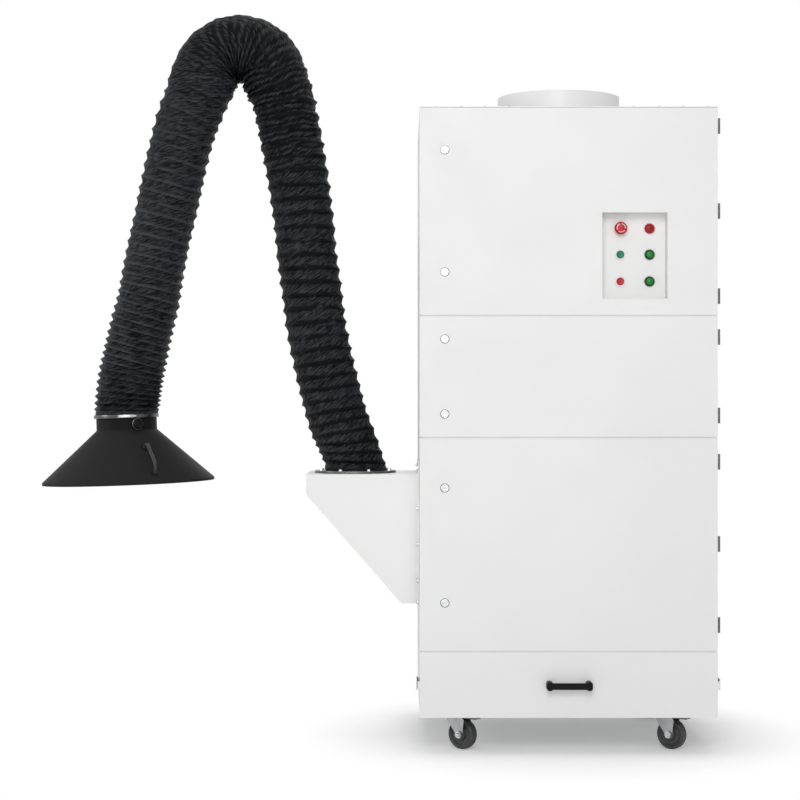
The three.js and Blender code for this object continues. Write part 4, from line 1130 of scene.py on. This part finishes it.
bend = ((0, handle_sunk), (0.01, handle_proud * 0.45), (0.06, handle_proud * 0.93), (0.15, handle_proud))
bow = [on_cone(handle_start + along, out) for along, out in bend]
bow.append(on_cone((handle_start + handle_end) / 2, handle_proud))
bow += [on_cone(handle_end - along, out) for along, out in reversed(bend)]
handle = Bundle()
handle.add(*rod_mesh(smooth_line(bow, 8), handle_radius, 20), hood_place)
# The bow handle takes the lighter copy of the hood's paint, a painted highlight.
handle.finish("hood_bow_handle", highlight_grip_paint, "hood", "black_paint", "hood_handle")
feet = Bundle()
pad = [(0, 0.0003), (0.0105, 0.0003), (0.0105, 0.0016), (0.0092, 0.0026), (0.0065, 0.0034), (0, 0.0038)]
for share in (handle_start, handle_end):
    cone_normal = (0, -cos(slope), sin(slope))
    feet.lathe(pad, hood_place @ frame_at(on_cone(share, 0), cone_normal), 32)
feet.finish("hood_handle_feet", black_plastic, "hood", "black_plastic")

# Hose clamp: a worm-drive band with its screw housing in front

band_room, band_thick, band_width = 0.0009, 0.0016, 0.01
band_inner = hose_crest + band_room
band_outer = band_inner + band_thick
clamp_low = 0.0006
clamp_high = clamp_low + band_width
profile = tube(band_inner, band_outer, clamp_low, clamp_high, 0.0005)
turned("clamp_band", profile, hood_place, 128, band_steel, "neck", "steel", "hose_clamp", closed=True)
housing_start, housing_end = radians(-34), radians(-5)
housing_steps = 12
housing_low = band_outer - 0.0003
housing_high = band_outer + 0.0024
low, high = clamp_low + 0.001, clamp_high - 0.001
corners, faces = [], []
for i in range(housing_steps + 1):
    turn = housing_start + (housing_end - housing_start) * i / housing_steps
    for radius, z in ((housing_low, low), (housing_high, low), (housing_high, high), (housing_low, high)):
        corners.append(round_at(turn - pi / 2, radius, z))
    if i:
        faces += [[4 * i - 4 + k, 4 * i + k, 4 * i + (k + 1) % 4, 4 * i - 4 + (k + 1) % 4] for k in range(4)]
faces += [[0, 1, 2, 3], [4 * housing_steps + k for k in (3, 2, 1, 0)]]
housing = Bundle()
housing.add(corners, faces, hood_place)
housing.finish("clamp_housing", fork_steel, "neck", "steel", edges=(0.0011, 3))
screw_at = round_at(housing_end - pi / 2, housing_high, (clamp_low + clamp_high) / 2)
screw_at.y += 0.0015
screw_frame = hood_place @ frame_at(screw_at, round_at(housing_end, 1, 0))
profile = rounded([(0, -0.002), (0.0036, -0.002), (0.0036, 0.0042), (0.0026, 0.005), (0, 0.005)], 0.0005)
turned("clamp_screw", profile, screw_frame, 6, zinc_plate, "neck", "zinc")

# Casters: pressed forks, wheels with a rounded tread, and brake pedals on the front pair

nut_radius, nut_washer = 0.0058, 0.0008
axle_zone = 0.014  # the fork's cheeks are measured this near to the axle's height
for place in ("front_left", "front_right", "back_left", "back_right"):
    softened(f"caster_fork_{place}", f"caster_{place}", "zinc", fork_steel, pressed_edge, 3)
    centre = pivot(f"wheel_spin_{place}")
    wheel_radius = centre.z
    tread = wheel_radius - 0.0002
    shoulder = wheel_radius - 0.0035
    along = axis(f"wheel_spin_{place}")
    fork = nodes[f"caster_fork_{place}"]
    corners = [fork.matrix_world @ vertex.co - centre for vertex in fork.data.vertices]
    fork_half = max(abs(corner.dot(along)) for corner in corners if abs(corner.z) < axle_zone)
    nuts = Bundle()
    for side in (-1, 1):
        hex_bolt(nuts, centre + along * side * fork_half, along * side, nut_radius, nut_washer)
    nuts.finish(f"caster_axle_nuts_{place}", zinc_plate, f"caster_{place}", "zinc")
    matrix = frame_at(centre, along)
    tyre = rounded([
        (0.0315, -0.0118), (0.0345, -0.0146), (shoulder, -0.0142), (tread, -0.0088), (tread, 0.0088),
        (shoulder, 0.0142), (0.0345, 0.0146), (0.0315, 0.0118), (0.0312, 0.0), (0.0314, -0.0117),
    ], 0.002, 4)
    wheel = f"wheel_{place}"
    turned(f"wheel_tyre_{place}", tyre, matrix, 96, tread_rubber, wheel, "rubber", f"caster_{wheel}",
           closed=True)
    core = rounded([
        (0.0061, -0.0145), (0.0155, -0.0145), (0.0165, -0.0072), (0.0275, -0.0068), (0.0288, -0.0108),
        (0.0313, -0.0114), (0.0313, 0.0114), (0.0288, 0.0108), (0.0275, 0.0068), (0.0165, 0.0072),
        (0.0155, 0.0145), (0.0061, 0.0145), (0.0061, -0.0144),
    ], 0.0012, 3)
    turned(f"wheel_core_{place}", core, matrix, 72, wheel_plastic, wheel, "wheel_grey", closed=True)

for place in ("front_left", "front_right"):
    softened(f"brake_pedal_{place}", f"pedal_{place}", "dark_steel", dark_steel, 0.0011, 3)

# Inner parts, seen when a door or the drawer is open

for body, slot, material, edge, names in (
    ("cabinet", "steel", bare_steel, 0.0006, ("fan_deck", "tube_sheet", "base_frame")),
    ("cabinet", "dark_steel", dark_steel, 0.001, ("air_tank",)),
    ("cabinet", "motor_blue", motor_paint, 0.0012, ("fan_motor",)),
    ("cabinet", "filter_paper", filter_media, 0.0012, ("filter_cartridge_left", "filter_cartridge_right")),
    ("fan", "steel", bare_steel, 0.0006, ("fan_impeller",)),
    ("turntable", "steel", bare_steel, 0.0006, ("arm_turntable",)),
    ("neck", "steel", bare_steel, 0.0006, ("hood_neck",)),
    ("lower_arm", "dark_steel", dark_steel, 0.0008, ("lower_link",)),
    ("upper_arm", "dark_steel", dark_steel, 0.0008, ("upper_link",)),
    ("lower_arm", "zinc", zinc_plate, 0.0008, ("elbow_pin",)),
):
    for node in names:
        softened(node, body, slot, material, edge)

# Floor: pale and plain near the cabinet, pure white further out where it is seen directly

floor_reach = 14
floor_lift = 0.2  # how much the floor glows by itself, where it is seen directly
white_from, white_by = 0.42, 0.78  # distances from the cabinet's middle between which it turns white
ground = Shader("floor", (0.93, 0.93, 0.93), 0.85, shine=0.15)
ground.set("Emission Color", (1, 1, 1, 1))
seen = ground.seen_directly()
glow = ground.math("MULTIPLY", seen, floor_lift)
ground.link(glow, ground.principled.inputs["Emission Strength"])
distance = ground.node("ShaderNodeVectorMath", operation="LENGTH")
ground.link(ground.node("ShaderNodeTexCoord").outputs["Object"], distance.inputs[0])
far = ground.remap(distance.outputs["Value"], 0, 1, white_from, white_by)
far.node.interpolation_type = "SMOOTHSTEP"
white_glow = ground.node("ShaderNodeEmission", Strength=1)
blend = ground.node("ShaderNodeMixShader")
ground.link(ground.math("MULTIPLY", seen, far), blend.inputs["Fac"])
ground.link(ground.principled.outputs["BSDF"], blend.inputs[1])
ground.link(white_glow.outputs["Emission"], blend.inputs[2])
ground.link(blend.outputs["Shader"], ground.tree.nodes["Material Output"].inputs["Surface"])
floor_span = (-floor_reach, floor_reach)
corners = box_corners(floor_span, floor_span, (0,))
floor = mesh_object("floor", corners, [[0, 1, 2, 3]], ground.material, oriented=True)
floor.location = (cabinet_middle, 0, 0)

# Background: white where it is seen directly, dimmer as a light

world_light = 0.36
world = bpy.data.worlds.new("studio")
scene.world = world
studio = Tree(world)
background = studio.tree.nodes["Background"]
background.inputs["Color"].default_value = (1, 1, 1, 1)
level = studio.remap(studio.seen_directly(), world_light, 1, 0, 1)
studio.link(level, background.inputs["Strength"])

# Lights: name, place, target, width and height, power

for name, place, target, size, power in (
    ("key", (0.0, -5.2, 3.2), (0.2, 0, 0.9), (1.8, 1.8), 82),
    ("front", (-0.4, -7.0, 1.2), (0.2, 0, 0.8), (4.5, 2.6), 83),
    ("side", (-2.1, -0.4, 1.3), (-0.7, 0, 0.9), (0.6, 0.6), 10),
    ("fill", (3.6, -5.0, 2.0), (0, 0, 1.0), (3.0, 3.0), 4),
    ("top", (0.5, 0.4, 4.6), (0.4, 0.1, 0.0), (2.6, 2.6), 36),
    ("back", (0.5, 4.5, 3.0), (0, 0, 1.0), (3.0, 2.5), 22),
):
    data = bpy.data.lights.new(name, "AREA")
    data.shape = "RECTANGLE"
    data.size, data.size_y = size
    data.energy = power
    made = add_object(name, data)
    made.location = place
    made.rotation_euler = (Vector(target) - Vector(place)).to_track_quat("-Z", "Y").to_euler()
